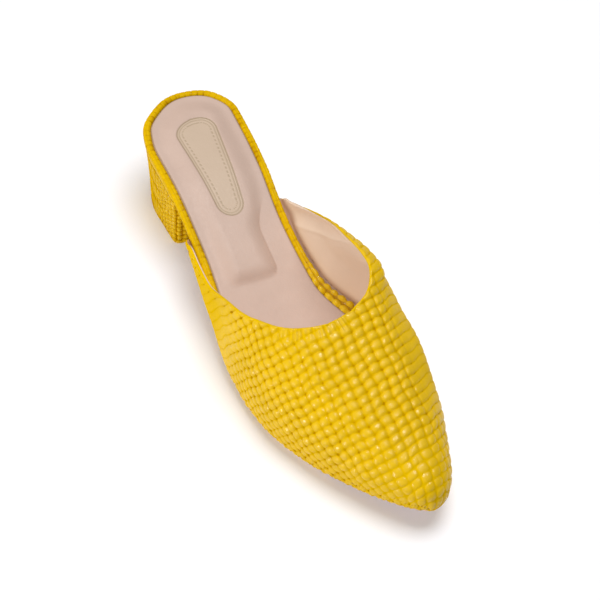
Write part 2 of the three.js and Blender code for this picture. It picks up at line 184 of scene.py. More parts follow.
def smooth_curve(xs, ys):
    """Monotone cubic curve through the points, flat beyond its ends."""
    xs, ys = np.asarray(xs, float), np.asarray(ys, float)
    step = np.diff(xs)
    slope = np.diff(ys) / step
    tangent = np.zeros(len(xs))
    for i in range(1, len(xs) - 1):
        if slope[i - 1] * slope[i] > 0:
            before = 2 * step[i] + step[i - 1]
            after = step[i] + 2 * step[i - 1]
            tangent[i] = (before + after) / (before / slope[i - 1] + after / slope[i])

    def end_tangent(h0, h1, s0, s1):
        value = ((2 * h0 + h1) * s0 - h0 * s1) / (h0 + h1)
        if value * s0 <= 0:
            return 0
        return 3 * s0 if s0 * s1 <= 0 and abs(value) > 3 * abs(s0) else value

    tangent[0] = end_tangent(step[0], step[1], slope[0], slope[1])
    tangent[-1] = end_tangent(step[-1], step[-2], slope[-1], slope[-2])

    def curve(value):
        x = np.clip(value, xs[0], xs[-1])
        i = np.clip(np.searchsorted(xs, x, side="right") - 1, 0, len(step) - 1)
        t = (x - xs[i]) / step[i]
        s = 1 - t
        return ((1 + 2 * t) * s * s * ys[i] + t * s * s * step[i] * tangent[i]
                + t * t * (3 - 2 * t) * ys[i + 1] - t * t * s * step[i] * tangent[i + 1])

    return curve


def rise(value, low, high):
    """From 0 below the zone to 1 above it, smoothly."""
    t = np.clip((value - low) / (high - low), 0, 1)
    return t * t * (3 - 2 * t)


def fade(value, low, high):
    return 1 - rise(value, low, high)


def bell(value, middle, spread):
    return np.exp(-((value - middle) / spread) ** 2)


def lerp(a, b, t):
    return a + (b - a) * t


def by_side(side, pair):
    """The medial or lateral value of a pair, for each side in an array."""
    return np.where(side > 0, pair[MEDIAL], pair[LATERAL])


def path_run(path):
    """How far along a path each of its points is."""
    return np.concatenate([[0], np.cumsum(np.linalg.norm(np.diff(path, axis=0), axis=1))])


def turn_at(share):
    return np.arccos(np.clip(1 - 2 * np.asarray(share, float), -1, 1)) / np.pi


def share_at(turn):
    return (1 - np.cos(np.pi * np.asarray(turn, float))) / 2


medial_edge = smooth_curve(turn_at(PLAN["at"]), PLAN["medial"])
lateral_edge = smooth_curve(turn_at(PLAN["at"]), PLAN["lateral"])
side_curve = smooth_curve(SIDE["at"], SIDE["height"])
crown_height = smooth_curve(CROWN["at"], CROWN["height"])
crown_ridge = smooth_curve(CROWN["at"], CROWN["ridge"])
crown_lateral = smooth_curve(CROWN["at"], CROWN["lateral"])
crown_medial = smooth_curve(CROWN["at"], CROWN["medial"])
throat_bend = smooth_curve(THROAT_BEND["turn"], THROAT_BEND["shift"])
top_drop = {
    LATERAL: smooth_curve(TOPLINE["lateral"], TOPLINE["at"]),
    MEDIAL: smooth_curve(TOPLINE["medial"], TOPLINE["at"]),
}
tab_reach = {
    LATERAL: float(smooth_curve(TOPLINE["at"], TOPLINE["lateral"])(TAB_END)),
    MEDIAL: float(smooth_curve(TOPLINE["at"], TOPLINE["medial"])(TAB_END)),
}


def sock_height(x):
    return side_curve(np.asarray(x, float) / LENGTH)


def passed(zone, x):
    return rise(np.asarray(x, float) / LENGTH, *zone)


def seat_share(x):
    return 1 - passed(SEAT_FRONT, x)


def bed_bottom(x):
    return sock_height(x) - BED_DEPTH - (SEAT_DEPTH - BED_DEPTH) * seat_share(x)


def bed_top(x):
    return sock_height(x) - SOCK_THICKNESS - GAP


def outsole_top(x):
    return bed_bottom(x) - GAP


def outsole_bottom(x):
    return np.maximum(outsole_top(x) - OUTSOLE_THICKNESS, 0)


def edge_point(turn, side):
    """Point of the sock edge in plan, going on along the other side beyond either end."""
    turn = np.asarray(turn, float)
    folded = np.where(turn < 0, -turn, np.where(turn > 1, 2 - turn, turn))
    at = np.where(folded == turn, side, -side)
    y = np.where(at > 0, medial_edge(folded), -lateral_edge(folded))
    return np.stack([share_at(folded) * LENGTH, y], -1)


def edge_normal(turn, side, step=0.004):
    along = edge_point(turn + step, side) - edge_point(turn - step, side)
    normal = np.stack([-along[..., 1], along[..., 0]], -1) * np.asarray(side)[..., None]
    return normal / np.linalg.norm(normal, axis=-1, keepdims=True)


def offset_point(turn, side, offset):
    return edge_point(turn, side) + edge_normal(turn, side) * np.asarray(offset)[..., None]


def vamp_point(turn, side, angle):
    """Outer face of the vamp: angle 0 on the widest line, a quarter turn on the crest, negative below."""
    turn, side, angle = np.broadcast_arrays(turn, side, angle)
    share = share_at(turn)
    bulge = np.where(side > 0, crown_medial(share), crown_lateral(share))
    normal = edge_normal(turn, side)
    wide = edge_point(turn, side) + normal * bulge[..., None]
    fall_back = np.clip((share - SPINE_BEND) / (1 - SPINE_BEND), 0, None) ** 2 * SPINE_END
    spine = np.stack([share * LENGTH - fall_back, crown_ridge(share)], -1)
    up, down = np.clip(angle, 0, None), np.clip(-angle, 0, None)
    across = np.abs(np.cos(up)) ** (2 / FULLNESS)
    lift = np.abs(np.sin(up)) ** (2 / FULLNESS)
    p = spine + (wide - spine) * across[..., None]
    feather = lerp(FEATHER_EDGE, FEATHER_EDGE_TOE, passed(RIM_NARROWS, share * LENGTH))
    p = p + normal * ((feather - bulge) * (1 - np.cos(down)))[..., None]
    crest = crown_height(share) - TOE_SLOPE * np.clip(p[..., 0] - share * LENGTH + fall_back, 0, None)
    z = sock_height(p[..., 0]) - BULGE_DROP + crest * lift - TUCK_DEPTH * np.sin(down)
    return np.concatenate([p, z[..., None]], -1)


# Meshes

sock_low = np.array(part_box("sock")[0]) / MM
LAST_ORIGIN = np.array([sock_low[0], sock_low[1] + PLAN["lateral"].max(), 0])


def to_frame(points):
    return (np.asarray(points, float) + LAST_ORIGIN) * MM


def add_piece(name, points, faces, materials, nodes, values=None, face_material=None, sharp=None):
    """One mesh object from points in millimetres, riding on the shoe's only body."""
    mesh = bpy.data.meshes.new(name)
    mesh.from_pydata(to_frame(points).tolist(), [], [list(map(int, f)) for f in faces])
    for key, data in (values or {}).items():
        attribute = mesh.attributes.new(key, "FLOAT", "POINT")
        attribute.data.foreach_set("value", np.asarray(data, np.float32))
    for material in materials:
        mesh.materials.append(material)
    if face_material is not None:
        mesh.polygons.foreach_set("material_index", np.asarray(face_material, np.int32))
    shell = bmesh.new()
    shell.from_mesh(mesh)
    bmesh.ops.recalc_face_normals(shell, faces=shell.faces)
    shell.to_mesh(mesh)
    shell.free()
    mesh.polygons.foreach_set("use_smooth", np.ones(len(mesh.polygons), bool))
    if sharp is not None:
        mesh.set_sharp_from_angle(angle=math.radians(sharp))
    mesh.update()
    piece = bpy.data.objects.new(name, mesh)
    bpy.context.collection.objects.link(piece)
    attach(piece, "root")
    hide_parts(*nodes)
    return piece


def vertex_normals(points, faces):
    a, b, c = (points[faces[:, k]] for k in range(3))
    face_normals = np.cross(b - a, c - a)
    normals = np.zeros_like(points)
    for k in range(3):
        np.add.at(normals, faces[:, k], face_normals)
    return normals / np.maximum(np.linalg.norm(normals, axis=1, keepdims=True), TINY)


def grid_faces(ids, points):
    """Triangles of a grid of vertex numbers, split on the shorter diagonal, without the collapsed ones."""
    a, b = ids[:-1, :-1].ravel(), ids[:-1, 1:].ravel()
    c, d = ids[1:, 1:].ravel(), ids[1:, :-1].ravel()
    short = (np.linalg.norm(points[a] - points[c], axis=1)
             < np.linalg.norm(points[b] - points[d], axis=1))[:, None]
    first = np.where(short, np.stack([a, b, c], 1), np.stack([a, b, d], 1))
    second = np.where(short, np.stack([a, c, d], 1), np.stack([b, c, d], 1))
    faces = np.concatenate([first, second])
    whole = (faces[:, 0] != faces[:, 1]) & (faces[:, 1] != faces[:, 2]) & (faces[:, 2] != faces[:, 0])
    return faces[whole]


def zip_borders(points, first, second):
    """Triangles between two borders that run side by side with different counts."""
    def progress(border):
        run = path_run(points[border])
        return run / run[-1]

    p, q = progress(first), progress(second)
    i = j = 0
    faces = []
    while i < len(first) - 1 or j < len(second) - 1:
        if j == len(second) - 1 or (i < len(first) - 1 and p[i + 1] <= q[j + 1]):
            faces.append((first[i], second[j], first[i + 1]))
            i += 1
        else:
            faces.append((first[i], second[j], second[j + 1]))
            j += 1
    return np.array(faces)


def stack_rings(rings):
    """Closed mesh from rings with equal counts, with its two ends filled by a ladder between the sides."""
    levels, count = len(rings), len(rings[0])
    points = np.concatenate(rings)
    ids = np.arange(levels * count).reshape(levels, count)
    faces = grid_faces(np.concatenate([ids, ids[:, :1]], 1), points).tolist()
    sides = len(faces)
    for start in (0, (levels - 1) * count):
        low, high = 0, count - 1
        while high - low > 1:
            faces.append([start + low, start + high, start + low + 1])
            low += 1
            if high - low > 1:
                faces.append([start + low, start + high, start + high - 1])
                high -= 1
    return points, np.array(faces), sides


def plan_ring(offset, height, count, start=0):
    """Ring round the plan, along the medial side to the toe and back along the lateral side."""
    turns = np.linspace(turn_at(start / LENGTH), 1, count + 1)
    back = turns[-2::-1] if start > 0 else turns[-2:0:-1]
    turn = np.concatenate([turns, back])
    side = np.concatenate([np.full(len(turns), MEDIAL), np.full(len(back), LATERAL)])
    station = share_at(turn) * LENGTH
    p = offset_point(turn, side, offset(station) * np.ones(len(turn)))
    x = np.maximum(p[:, 0], start) if start > 0 else p[:, 0]
    return np.column_stack([x, p[:, 1], height(x) * np.ones(len(x))])


def near_distance(points, path, reach):
    """Distance of each point from a path, up to reach, and how far along the path its nearest point is."""
    tree = kdtree.KDTree(len(path))
    for i, p in enumerate(path):
        tree.insert(Vector(p), i)
    tree.balance()
    nearest = np.array([tree.find(Vector(p))[1] for p in points])
    run = path_run(path)
    distance, place = np.full(len(points), float(reach)), run[nearest]
    for first in (np.maximum(nearest - 1, 0), np.minimum(nearest, len(path) - 2)):
        leg, from_start = path[first + 1] - path[first], points - path[first]
        along = np.clip((from_start * leg).sum(1) / np.maximum((leg ** 2).sum(1), TINY), 0, 1)
        d = np.linalg.norm(from_start - along[:, None] * leg, axis=1)
        place = np.where(d < distance, lerp(run[first], run[first + 1], along), place)
        distance = np.minimum(d, distance)
    return distance, place


# Vamp

THROAT_SHARES = np.array([0.04, 0.12, 0.25, 0.4, 0.6, 0.8])  # columns close behind the throat, in steps
THROAT_EASE = 32  # the bend of the throat fades out over this length ahead of it
GIRTH_SAMPLES = 161
BORDER_MERGE = 0.3  # a row nearer a border than this share of a step joins it
ROW_NORMAL = (0.793, 0.218, -0.569)  # the rows of the weave lie in planes square to this
ROW_PITCH = 4.45  # from row to row along that direction
COLUMN_DENSITY = 0.161  # columns of the weave for each millimetre of girth at the crest
COLUMN_CROWDING = {LATERAL: 0.0006, MEDIAL: 0.0005}  # how fast they get closer down the sides


def vamp_columns(step, toe_steps):
    """Columns of the vamp's mesh from the lateral tab round the toe to the medial tab: their turns, sides and
    top angles, the number of the tip's column, and how many lie behind the throat on each side."""
    turns, tops, rears = {}, {}, {}
    for side in (LATERAL, MEDIAL):
        reach = tab_reach[side]
        behind = np.arange(1, int(reach / step + 0.5)) * step
        distance = np.concatenate([[reach], behind[::-1], (THROAT_SHARES * step)[::-1]])
        straight = math.ceil((SPINE_BEND * LENGTH - THROAT_X) / step)
        ahead = turn_at((THROAT_X + np.arange(straight + 1) * step) / LENGTH)
        toe = np.linspace(ahead[-1], 1, toe_steps + 1)[1:-1]
        turns[side] = np.concatenate([turn_at((THROAT_X - distance) / LENGTH), ahead, toe])
        tops[side] = np.full(len(turns[side]), CREST)
        tops[side][:len(distance)] *= 1 - top_drop[side](distance)
        rears[side] = len(distance)
    tip = len(turns[LATERAL])
    turn = np.concatenate([turns[LATERAL], [1.0], turns[MEDIAL][::-1]])
    top = np.concatenate([tops[LATERAL], [CREST], tops[MEDIAL][::-1]])
    return turn, np.where(np.arange(len(turn)) < tip, LATERAL, MEDIAL), top, tip, rears


def vamp_sheet(per_pitch, toe_steps, tuck_rows, drop=None):
    """The vamp's outer face as an open sheet, with per_pitch steps for each pillow of the solid's weave and
    its border lowered by drop along the topline. Each point has its row and column of the scene's weave."""
    row_step = WEAVE_ACROSS / per_pitch
    turn, side, top, tip, rears = vamp_columns(WEAVE_ALONG / per_pitch, toe_steps)

    samples = np.linspace(CREST, 0, GIRTH_SAMPLES)
    path = vamp_point(turn[:, None], side[:, None], samples[None, :])
    move = np.diff(path, axis=1)
    length = np.linalg.norm(move, axis=2)
    plan = np.maximum(np.hypot(move[..., 0], move[..., 1]), TINY)
    zero = np.zeros((len(turn), 1))
    run = np.concatenate([zero, np.cumsum(length, 1)], 1)
    across = np.concatenate([zero, np.cumsum(length * np.abs(move[..., 1]) / plan, 1)], 1)

    rows = np.arange(math.ceil(run[:, -1].max() / row_step) + 1) * row_step
    wall = len(rows)
    angle = np.zeros((len(turn), wall + tuck_rows))
    girth = angle.copy()
    ids = np.arange(angle.size).reshape(angle.shape)
    merge = BORDER_MERGE * row_step
    tuck_shares = np.arange(1, tuck_rows + 1) / tuck_rows
    tuck_angles = -CREST * tuck_shares
    for i in range(len(turn)):
        wide = run[i, -1]
        high = np.interp(-top[i], -samples, run[i])
        if top[i] < CREST and drop is not None:
            high = high + drop(side[i], THROAT_X - share_at(turn[i]) * LENGTH)
        dip = min(top[i], 0) + min((wide - high) / TUCK_DEPTH, 0)
        on_top = (rows < high + merge) | (dip < 0)
        on_wide = (rows > wide - merge) & ~on_top
        place = np.where(on_top, min(high, wide), np.where(on_wide, wide, rows))
        angle[i, :wall] = np.interp(place, run[i], samples) + dip
        girth[i, :wall] = np.interp(place, run[i], across[i])
        ids[i, :wall][on_top] = ids[i, 0]
        ids[i, :wall][on_wide] = ids[i, wall - 1]
        if i > tip and top[i] == CREST:
            ids[i, :wall][on_top] = ids[2 * tip - i, 0]
        angle[i, wall:] = np.minimum(tuck_angles, dip)
        ids[i, wall:][tuck_angles >= dip] = ids[i, wall - 1]
    station = share_at(turn)[:, None] * LENGTH
    bend = throat_bend(side[:, None] * (1 - angle / CREST))
    station = station + bend * fade(station, THROAT_X, THROAT_X + THROAT_EASE)
    points = vamp_point(turn_at(station / LENGTH), side[:, None], angle)
    tuck_run = np.cumsum(np.linalg.norm(np.diff(points[:, wall - 1:], axis=1), axis=2), 1)
    girth[:, wall:] = girth[:, wall - 1:wall] + tuck_run
    tuck = np.zeros_like(angle)
    tuck[:, wall:] = tuck_shares
    crowding = by_side(side, COLUMN_CROWDING)[:, None]

    flat = points.reshape(-1, 3)
    used, faces = np.unique(grid_faces(ids, flat), return_inverse=True)
    number = np.full(angle.size, -1)
    number[used] = np.arange(len(used))
    throat = list(range(rears[LATERAL] + 1)) + list(range(len(turn) - rears[MEDIAL], len(turn)))

    def picked(values):
        return np.broadcast_to(values, angle.shape).ravel()[used]

    def border(path_ids):
        path_ids = number[path_ids]
        return path_ids[np.concatenate([[True], np.diff(path_ids) != 0])]

    return {
        "points": flat[used],
        "faces": faces.reshape(-1, 3),
        "row": picked(points @ np.array(ROW_NORMAL) / ROW_PITCH),
        "column": picked((COLUMN_DENSITY * girth + crowding * girth ** 2) * side[:, None]),
        "share": picked(share_at(turn)[:, None]),
        "side": picked(side[:, None]),
        "down": picked(np.clip(girth / np.maximum(across[:, -1:], 1), 0, 1)),
        "tuck": picked(tuck),
        "up": picked(np.clip(angle, 0, None)),
        "borders": [border(ids[throat, 0]), border(ids[-1, :]), border(ids[::-1, -1]), border(ids[0, ::-1])],
    }


# Weave

CHANCES = 64  # the random values of single pillows repeat after so many
ROW_WAVES = [(0.06, 0, 1.3, 0.5), (0.05, 0.63, 2.1, 0), (0.03, 1.7, 3.1, 0)]  # see wobble()
COLUMN_WAVES = [(0.06, 1.1, 0, 1.7), (0.04, 1.9, 0.71, 0), (0.03, 2.7, -1.2, 0)]
PILLOW_LEAN = 0.5  # how far a top is off the middle
PILLOW_POWER = (2.3, 3.2)  # exponent of the outline, from rounder to squarer pillows
PILLOW_REACH = 1.02  # where a pillow ends, in half pitches
PILLOW_STEEPNESS = 2.9
PILLOW_LEVEL = (0.84, 1.12)  # lowest and highest top
CORNER = (0.95, 1.35)  # zone of the corners between pillows, in half pitches from a middle
CORNER_DEPTH = (0.25, 1)


def wobble(waves, s, t):
    """How far an uneven lattice is off its regular place, from waves with a size, two paces and a start."""
    return sum(size * np.sin(pace_s * s + pace_t * t + start) for size, pace_s, pace_t, start in waves)


def weave(s, t, seed, calm=0.0):
    """Round bumps on a square lattice, one for each crossing of two strips: 0 in the valleys, 1 on the tops.
    Calm takes the valleys between columns away. The second value is 1 in the corners between bumps."""
    chance = np.random.default_rng(seed).random((5, CHANCES, CHANCES))
    s = s + wobble(ROW_WAVES, s, t)
    t = t + wobble(COLUMN_WAVES, s, t)
    i, j = np.floor(s).astype(int), np.floor(t).astype(int)
    size, lean_s, lean_t, squareness = chance[1:, i % CHANCES, j % CHANCES]
    u, v = s - i, t - j
    u = u + PILLOW_LEAN * (lean_s - 0.5) * u * (1 - u)
    v = v + PILLOW_LEAN * (lean_t - 0.5) * v * (1 - v)
    a, b = 2 * np.abs(u - 0.5), 2 * np.abs(v - 0.5) * (1 - calm)
    power = lerp(*PILLOW_POWER, squareness)
    reach = (a ** power + b ** power) ** (1 / power)
    dome = 1 - np.clip(reach / PILLOW_REACH, 0, 1) ** PILLOW_STEEPNESS
    near_s, near_t = np.floor(s + 0.5).astype(int), np.floor(t + 0.5).astype(int)
    crossing = chance[0, near_s % CHANCES, near_t % CHANCES]
    return dome * lerp(*PILLOW_LEVEL, size), rise(reach, *CORNER) * lerp(*CORNER_DEPTH, crossing)


# Upper

LEATHER = 1.0  # thickness of the woven leather
LINING_GAP = 0.08  # between leather and lining
LEATHER_MESH = {"per_pitch": 10, "toe_steps": 115, "tuck_rows": 12}
LEATHER_BACK_MESH = {"per_pitch": 2, "toe_steps": 24, "tuck_rows": 4}
LINING_MESH = {"per_pitch": 6, "toe_steps": 69, "tuck_rows": 6}

# Relief of the leather. Down is the share of the way from the crest to the widest line, tuck the share of the
# turned in edge.
RELIEF = 0.95  # height of a pillow
PIT_DEPTH = 0.22
STRIPS = {LATERAL: 0.97, MEDIAL: 0.95}  # how far pillows run together into strips, low on the sides
STRIPS_DOWN = {LATERAL: (0.58, 0.84), MEDIAL: (0.22, 0.5)}
STRIPS_END = {LATERAL: (125, 165), MEDIAL: (205, 240)}  # stations
STRIP_POWER = {LATERAL: 0.3, MEDIAL: 0.42}  # a small one makes strips flat with narrow grooves
STRIP_LOSS = {LATERAL: 0.55, MEDIAL: 0.3}  # share of the relief
TOE_LOSS = 0.45
TOE_ZONE = (0.86, 0.98)  # shares of the length
LOW_LOSS = 0.45  # low on the lateral side
LOW_DOWN = (0.72, 1)
TUCK_LOSS = 0.8
TUCK_LOSS_ZONE = (0.1, 0.8)
TUCK_SINK = 0.3
TUCK_SINK_ZONE = (0.6, 1)
GATHERS_PER_ROW = 1.9
GATHER_SWAY = 1.3
GATHER_SWAY_PACE = 3.1
GATHER_HEIGHT = 0.22
GATHER_ZONE = (0, 0.5)
NOTCHES_PER_COLUMN = 1.3  # notches between gathers, low on the lateral side of the toe
NOTCH_LEVEL = (0.35, 0.75)
NOTCH_START = (195, 215)
NOTCH_DOWN = (0.86, 0.97)
NOTCH_TUCK = (0.3, 0.6)
NOTCH_DEPTH = 0.4

# Edge of the throat. Sizes are distances from the topline.
EDGE_REACH = 9
FOLD_ZONE = (0.05, 1.55)  # from the folded edge to the weave
FOLD_HEIGHT = 0.2
FOLD_DROP = 0.9
FOLD_ROUND = 0.9
REAR_EDGE_IN = 0.5  # on the medial side
REAR_EDGE_ZONE = (74, 86)  # behind the throat
DOT_ROW = (3.2, 0.8)  # middle and spread of a row of dents behind the lateral throat
DOT_SHAPE = (0.28, 0.44)
DOT_END = (138, 152)
DOT_DEPTH = 0.2
PLEATS = table("place spread", [  # groups of pleats along the edge, from the crest
    (-28, 6.5),
    (-15.5, 3.5),
    (-6.5, 3),
])
PLEAT_PITCH = 2.0
PLEAT_HEIGHT = 0.36
PLEAT_LENGTH = (5, 8.5)
PLEAT_SWAY = 0.9
PLEAT_SWAY_PACE = 0.7
PLEAT_LOSS = 0.95  # of the weave's relief under them

# Tone of the leather, from 0 in the hollows to 1 on the tops: the hollows, pits, grooves, dents and notches
# are darkened as painted shade, and the pleats get painted highlight on their ridges and painted shade in
# their furrows
PLAIN_TONE = 0.5
VALLEY_TONE = 0.16
STRIP_TONE_POWER = 0.45
GROOVE_SHADE = 0.45
PIT_SHADE = (0.28, 0.42)  # high and low on the lateral side
PIT_SHADE_DOWN = (0.4, 0.75)
TOE_TONE = 0.7
DOT_SHADE = 0.5
EDGE_TONE = 0.75
PLEAT_TONE = 0.62
PLEAT_TONE_SHARE = 0.85
PLEAT_SHADE = 1.1
NOTCH_SHADE = 0.7
POLISH_LEVEL = (0.2, 0.6)

# Shape of the soft walls, where it differs from the last
FRONT_TUCK = 1.3  # see front_tuck()
FRONT_TUCK_START = (165, 195)
FRONT_TUCK_HEIGHT = (0, 10)  # over the sock's edge
FRONT_TUCK_FACING = (-0.3, 0.35)
SWELL = 3.2  # see medial_swell(); zones are distances behind the throat
SWELL_START = (8, 26)
SWELL_END = (84, 98)
SWELL_LEAST = 0.72
SWELL_MOST = (42, 15)  # middle and spread
SWELL_PLACE = (7, 4)  # under the topline, before and after the next zone
SWELL_PLACE_ZONE = (42, 60)
SWELL_SPREAD = 4.5
SWELL_REACH = 30
EDGE_OUT = 0.3
EDGE_OUT_START = (44, 66)
EDGE_OUT_SPREAD = 3

# Lining
LINING_DROP = 0.5  # its edge under the edge of the leather
LINING_LIFT = 1.1  # far back on the medial side it stands over that edge
LINING_LIFT_ZONE = (70, 92)
LINING_REAR_DROP = 0.7
LINING_REAR_ZONE = (95, 101)
SEAM = (9.5, 1.0)  # fold line under the medial topline: its middle and spread
SEAM_HEIGHT = 0.5
SEAM_START = (84, 96)
SEAM_END = (140, 152)
FILL_SHARE = 0.85  # how much of the space beside the rim the medial lining fills
FILL_START = (74, 92)
FILL_END = (140, 165)
FILL_UP = (0, 0.3)  # angles over the widest line
FILL_TUCK = (0, 0.4)
# Painted shade: the lining turns brown low down beside the rim, where shade falls in the crevice
LINING_PAINTED_SHADE = 0.7
CREVICE_HEIGHT = (-1, 5)  # over the sock's edge
CREVICE_END = (160, 185)


def lining_drop(side, behind):
    """Edge of the lining under the edge of the leather. Far back on the medial side it stands over it."""
    if side == LATERAL:
        return LINING_DROP
    lift = LINING_LIFT * rise(behind, *LINING_LIFT_ZONE)
    return LINING_DROP - lift + LINING_REAR_DROP * rise(behind, *LINING_REAR_ZONE)


def strip_share(x, down, side):
    """How far the pillows run together into long strips."""
    return sum((side == at) * STRIPS[at] * rise(down, *STRIPS_DOWN[at]) * fade(x, *STRIPS_END[at])
               for at in (LATERAL, MEDIAL))


def gather_wave(s):
    return np.sin(2 * np.pi * s * GATHERS_PER_ROW + GATHER_SWAY * np.sin(GATHER_SWAY_PACE * s))


def throat_pleats(points, top_path):
    """Distance of each point from the topline, the height of the short pleats there, and their zone."""
    distance, place = near_distance(points, top_path, EDGE_REACH)
    crest = vamp_point(turn_at(THROAT_X / LENGTH), MEDIAL, CREST)
    from_crest = place - place[np.argmin(np.linalg.norm(points - crest, axis=1))]
    groups = sum(bell(from_crest, *group) for group in zip(PLEATS["place"], PLEATS["spread"]))
    zone = np.minimum(groups, 1) * fade(distance, *PLEAT_LENGTH)
    turns = 2 * np.pi * from_crest / PLEAT_PITCH + PLEAT_SWAY * np.sin(from_crest * PLEAT_SWAY_PACE)
    return distance, PLEAT_HEIGHT * np.sin(turns) * zone, zone


def leather_heights(sheet, top_path):
    """How far each point of the leather stands over the plain wall, its tone and its polish."""
    s, t, share, side, down, tuck = (sheet[k] for k in ("row", "column", "share", "side", "down", "tuck"))
    x, lateral = sheet["points"][:, 0], side < 0
    strips, toe = strip_share(x, down, side), TOE_LOSS * rise(share, *TOE_ZONE)
    pillow, corner = weave(s, t + 0.5, SEED, strips)
    pits = corner * (1 - strips) * (1 - toe)
    height = (pillow ** lerp(1, by_side(side, STRIP_POWER), strips) - 0.5) * RELIEF * (1 - toe)
    height = height * (1 - by_side(side, STRIP_LOSS) * strips) - PIT_DEPTH * pits
    height = height * (1 - LOW_LOSS * lateral * rise(down, *LOW_DOWN))
    height = height * (1 - TUCK_LOSS * rise(tuck, *TUCK_LOSS_ZONE))
    gathers = gather_wave(s)
    height = height + GATHER_HEIGHT * gathers * rise(tuck, *GATHER_ZONE)
    height = height - TUCK_SINK * rise(tuck, *TUCK_SINK_ZONE)
    # painted shade: darker in the valleys, pits and grooves of the weave
    tone = lerp(VALLEY_TONE, 1, pillow ** lerp(1, STRIP_TONE_POWER, strips))
    tone = tone - lerp(*PIT_SHADE, lateral * rise(down, *PIT_SHADE_DOWN)) * pits
    tone = lerp(tone - GROOVE_SHADE * strips * (1 - pillow) ** 6, TOE_TONE, toe)

    distance, pleats, pleat_zone = throat_pleats(sheet["points"], top_path)
    edge = FOLD_HEIGHT - FOLD_DROP * np.clip(1 - distance / FOLD_ROUND, 0, 1) ** 2
    edge = edge - REAR_EDGE_IN * (side > 0) * rise(THROAT_X - x, *REAR_EDGE_ZONE)
    weave_share = rise(distance, *FOLD_ZONE)
    dots = bell(distance, *DOT_ROW) * lateral * fade(x, *DOT_END)
    dots *= rise(np.abs(s - np.floor(s) - 0.5), *DOT_SHAPE)
    height = lerp(edge, height * (1 - PLEAT_LOSS * pleat_zone), weave_share) + pleats - DOT_DEPTH * dots
    tone = lerp(tone - DOT_SHADE * dots, PLEAT_TONE, PLEAT_TONE_SHARE * pleat_zone)
    tone = lerp(EDGE_TONE, tone, weave_share) + PLEAT_SHADE * pleats

    notches = rise(gathers * np.sin(2 * np.pi * t * NOTCHES_PER_COLUMN + s), *NOTCH_LEVEL)
    notches *= lateral * rise(x, *NOTCH_START) * rise(down, *NOTCH_DOWN) * fade(tuck, *NOTCH_TUCK)
    polish = (1 - strips) * rise(pillow, *POLISH_LEVEL) * (1 - tuck)
    return height - NOTCH_DEPTH * notches, tone - NOTCH_SHADE * notches, polish


def front_tuck(sheet, normals):
    """How far the wall is drawn in low on the lateral side of the toe, where it is lasted tight."""
    x, z = sheet["points"][:, 0], sheet["points"][:, 2]
    low = fade(z - sock_height(x), *FRONT_TUCK_HEIGHT)
    lateral = rise(-normals[:, 1], *FRONT_TUCK_FACING)
    return (FRONT_TUCK * low * lateral * rise(x, *FRONT_TUCK_START))[:, None]


def medial_swell(sheet, top_path):
    """How far the wall stands out under the medial topline, and its edge too towards the rear."""
    behind = THROAT_X - sheet["points"][:, 0]
    distance, _ = near_distance(sheet["points"], top_path, SWELL_REACH)
    zone = (sheet["side"] > 0) * rise(behind, *SWELL_START) * fade(behind, *SWELL_END)
    fullness = SWELL * lerp(SWELL_LEAST, 1, bell(behind, *SWELL_MOST))
    edge = EDGE_OUT * rise(behind, *EDGE_OUT_START) * bell(distance, 0, EDGE_OUT_SPREAD)
    fullest = lerp(*SWELL_PLACE, rise(behind, *SWELL_PLACE_ZONE))
    return (zone * (fullness * bell(distance, fullest, SWELL_SPREAD) + edge))[:, None]


def join_sheets(front, front_points, back, back_points):
    """Closed mesh of two sheets, back to back, zipped together along their borders."""
    points, count = np.concatenate([front_points, back_points]), len(front_points)
    faces = [front["faces"], back["faces"][:, ::-1] + count]
    for near, far in zip(front["borders"], back["borders"]):
        faces.append(zip_borders(points, near, far + count))
    return points, np.concatenate(faces)


def make_leather(woven):
    """The woven leather. Returns its topline before and after the walls get their soft shape."""
    sheet = vamp_sheet(**LEATHER_MESH)
    normals = vertex_normals(sheet["points"], sheet["faces"])
    plain_top = sheet["points"][sheet["borders"][0]]
    moved_out = medial_swell(sheet, plain_top) - front_tuck(sheet, normals)
    sheet["points"] = sheet["points"] + normals * moved_out
    normals = vertex_normals(sheet["points"], sheet["faces"])
    top_path = sheet["points"][sheet["borders"][0]]
    height, tone, polish = leather_heights(sheet, top_path)

    back = vamp_sheet(**LEATHER_BACK_MESH)
    back_normals = vertex_normals(back["points"], back["faces"])
    moved_out = medial_swell(back, plain_top) - LEATHER - front_tuck(back, back_normals)
    points, faces = join_sheets(sheet, sheet["points"] + normals * height[:, None],
                                back, back["points"] + back_normals * moved_out)
    hidden = (0, len(points) - len(tone))
    add_piece("upper_leather", points, faces, [woven], ["upper"],
              {"relief": np.pad(tone, hidden, constant_values=PLAIN_TONE), "polish": np.pad(polish, hidden)})
    return plain_top, top_path


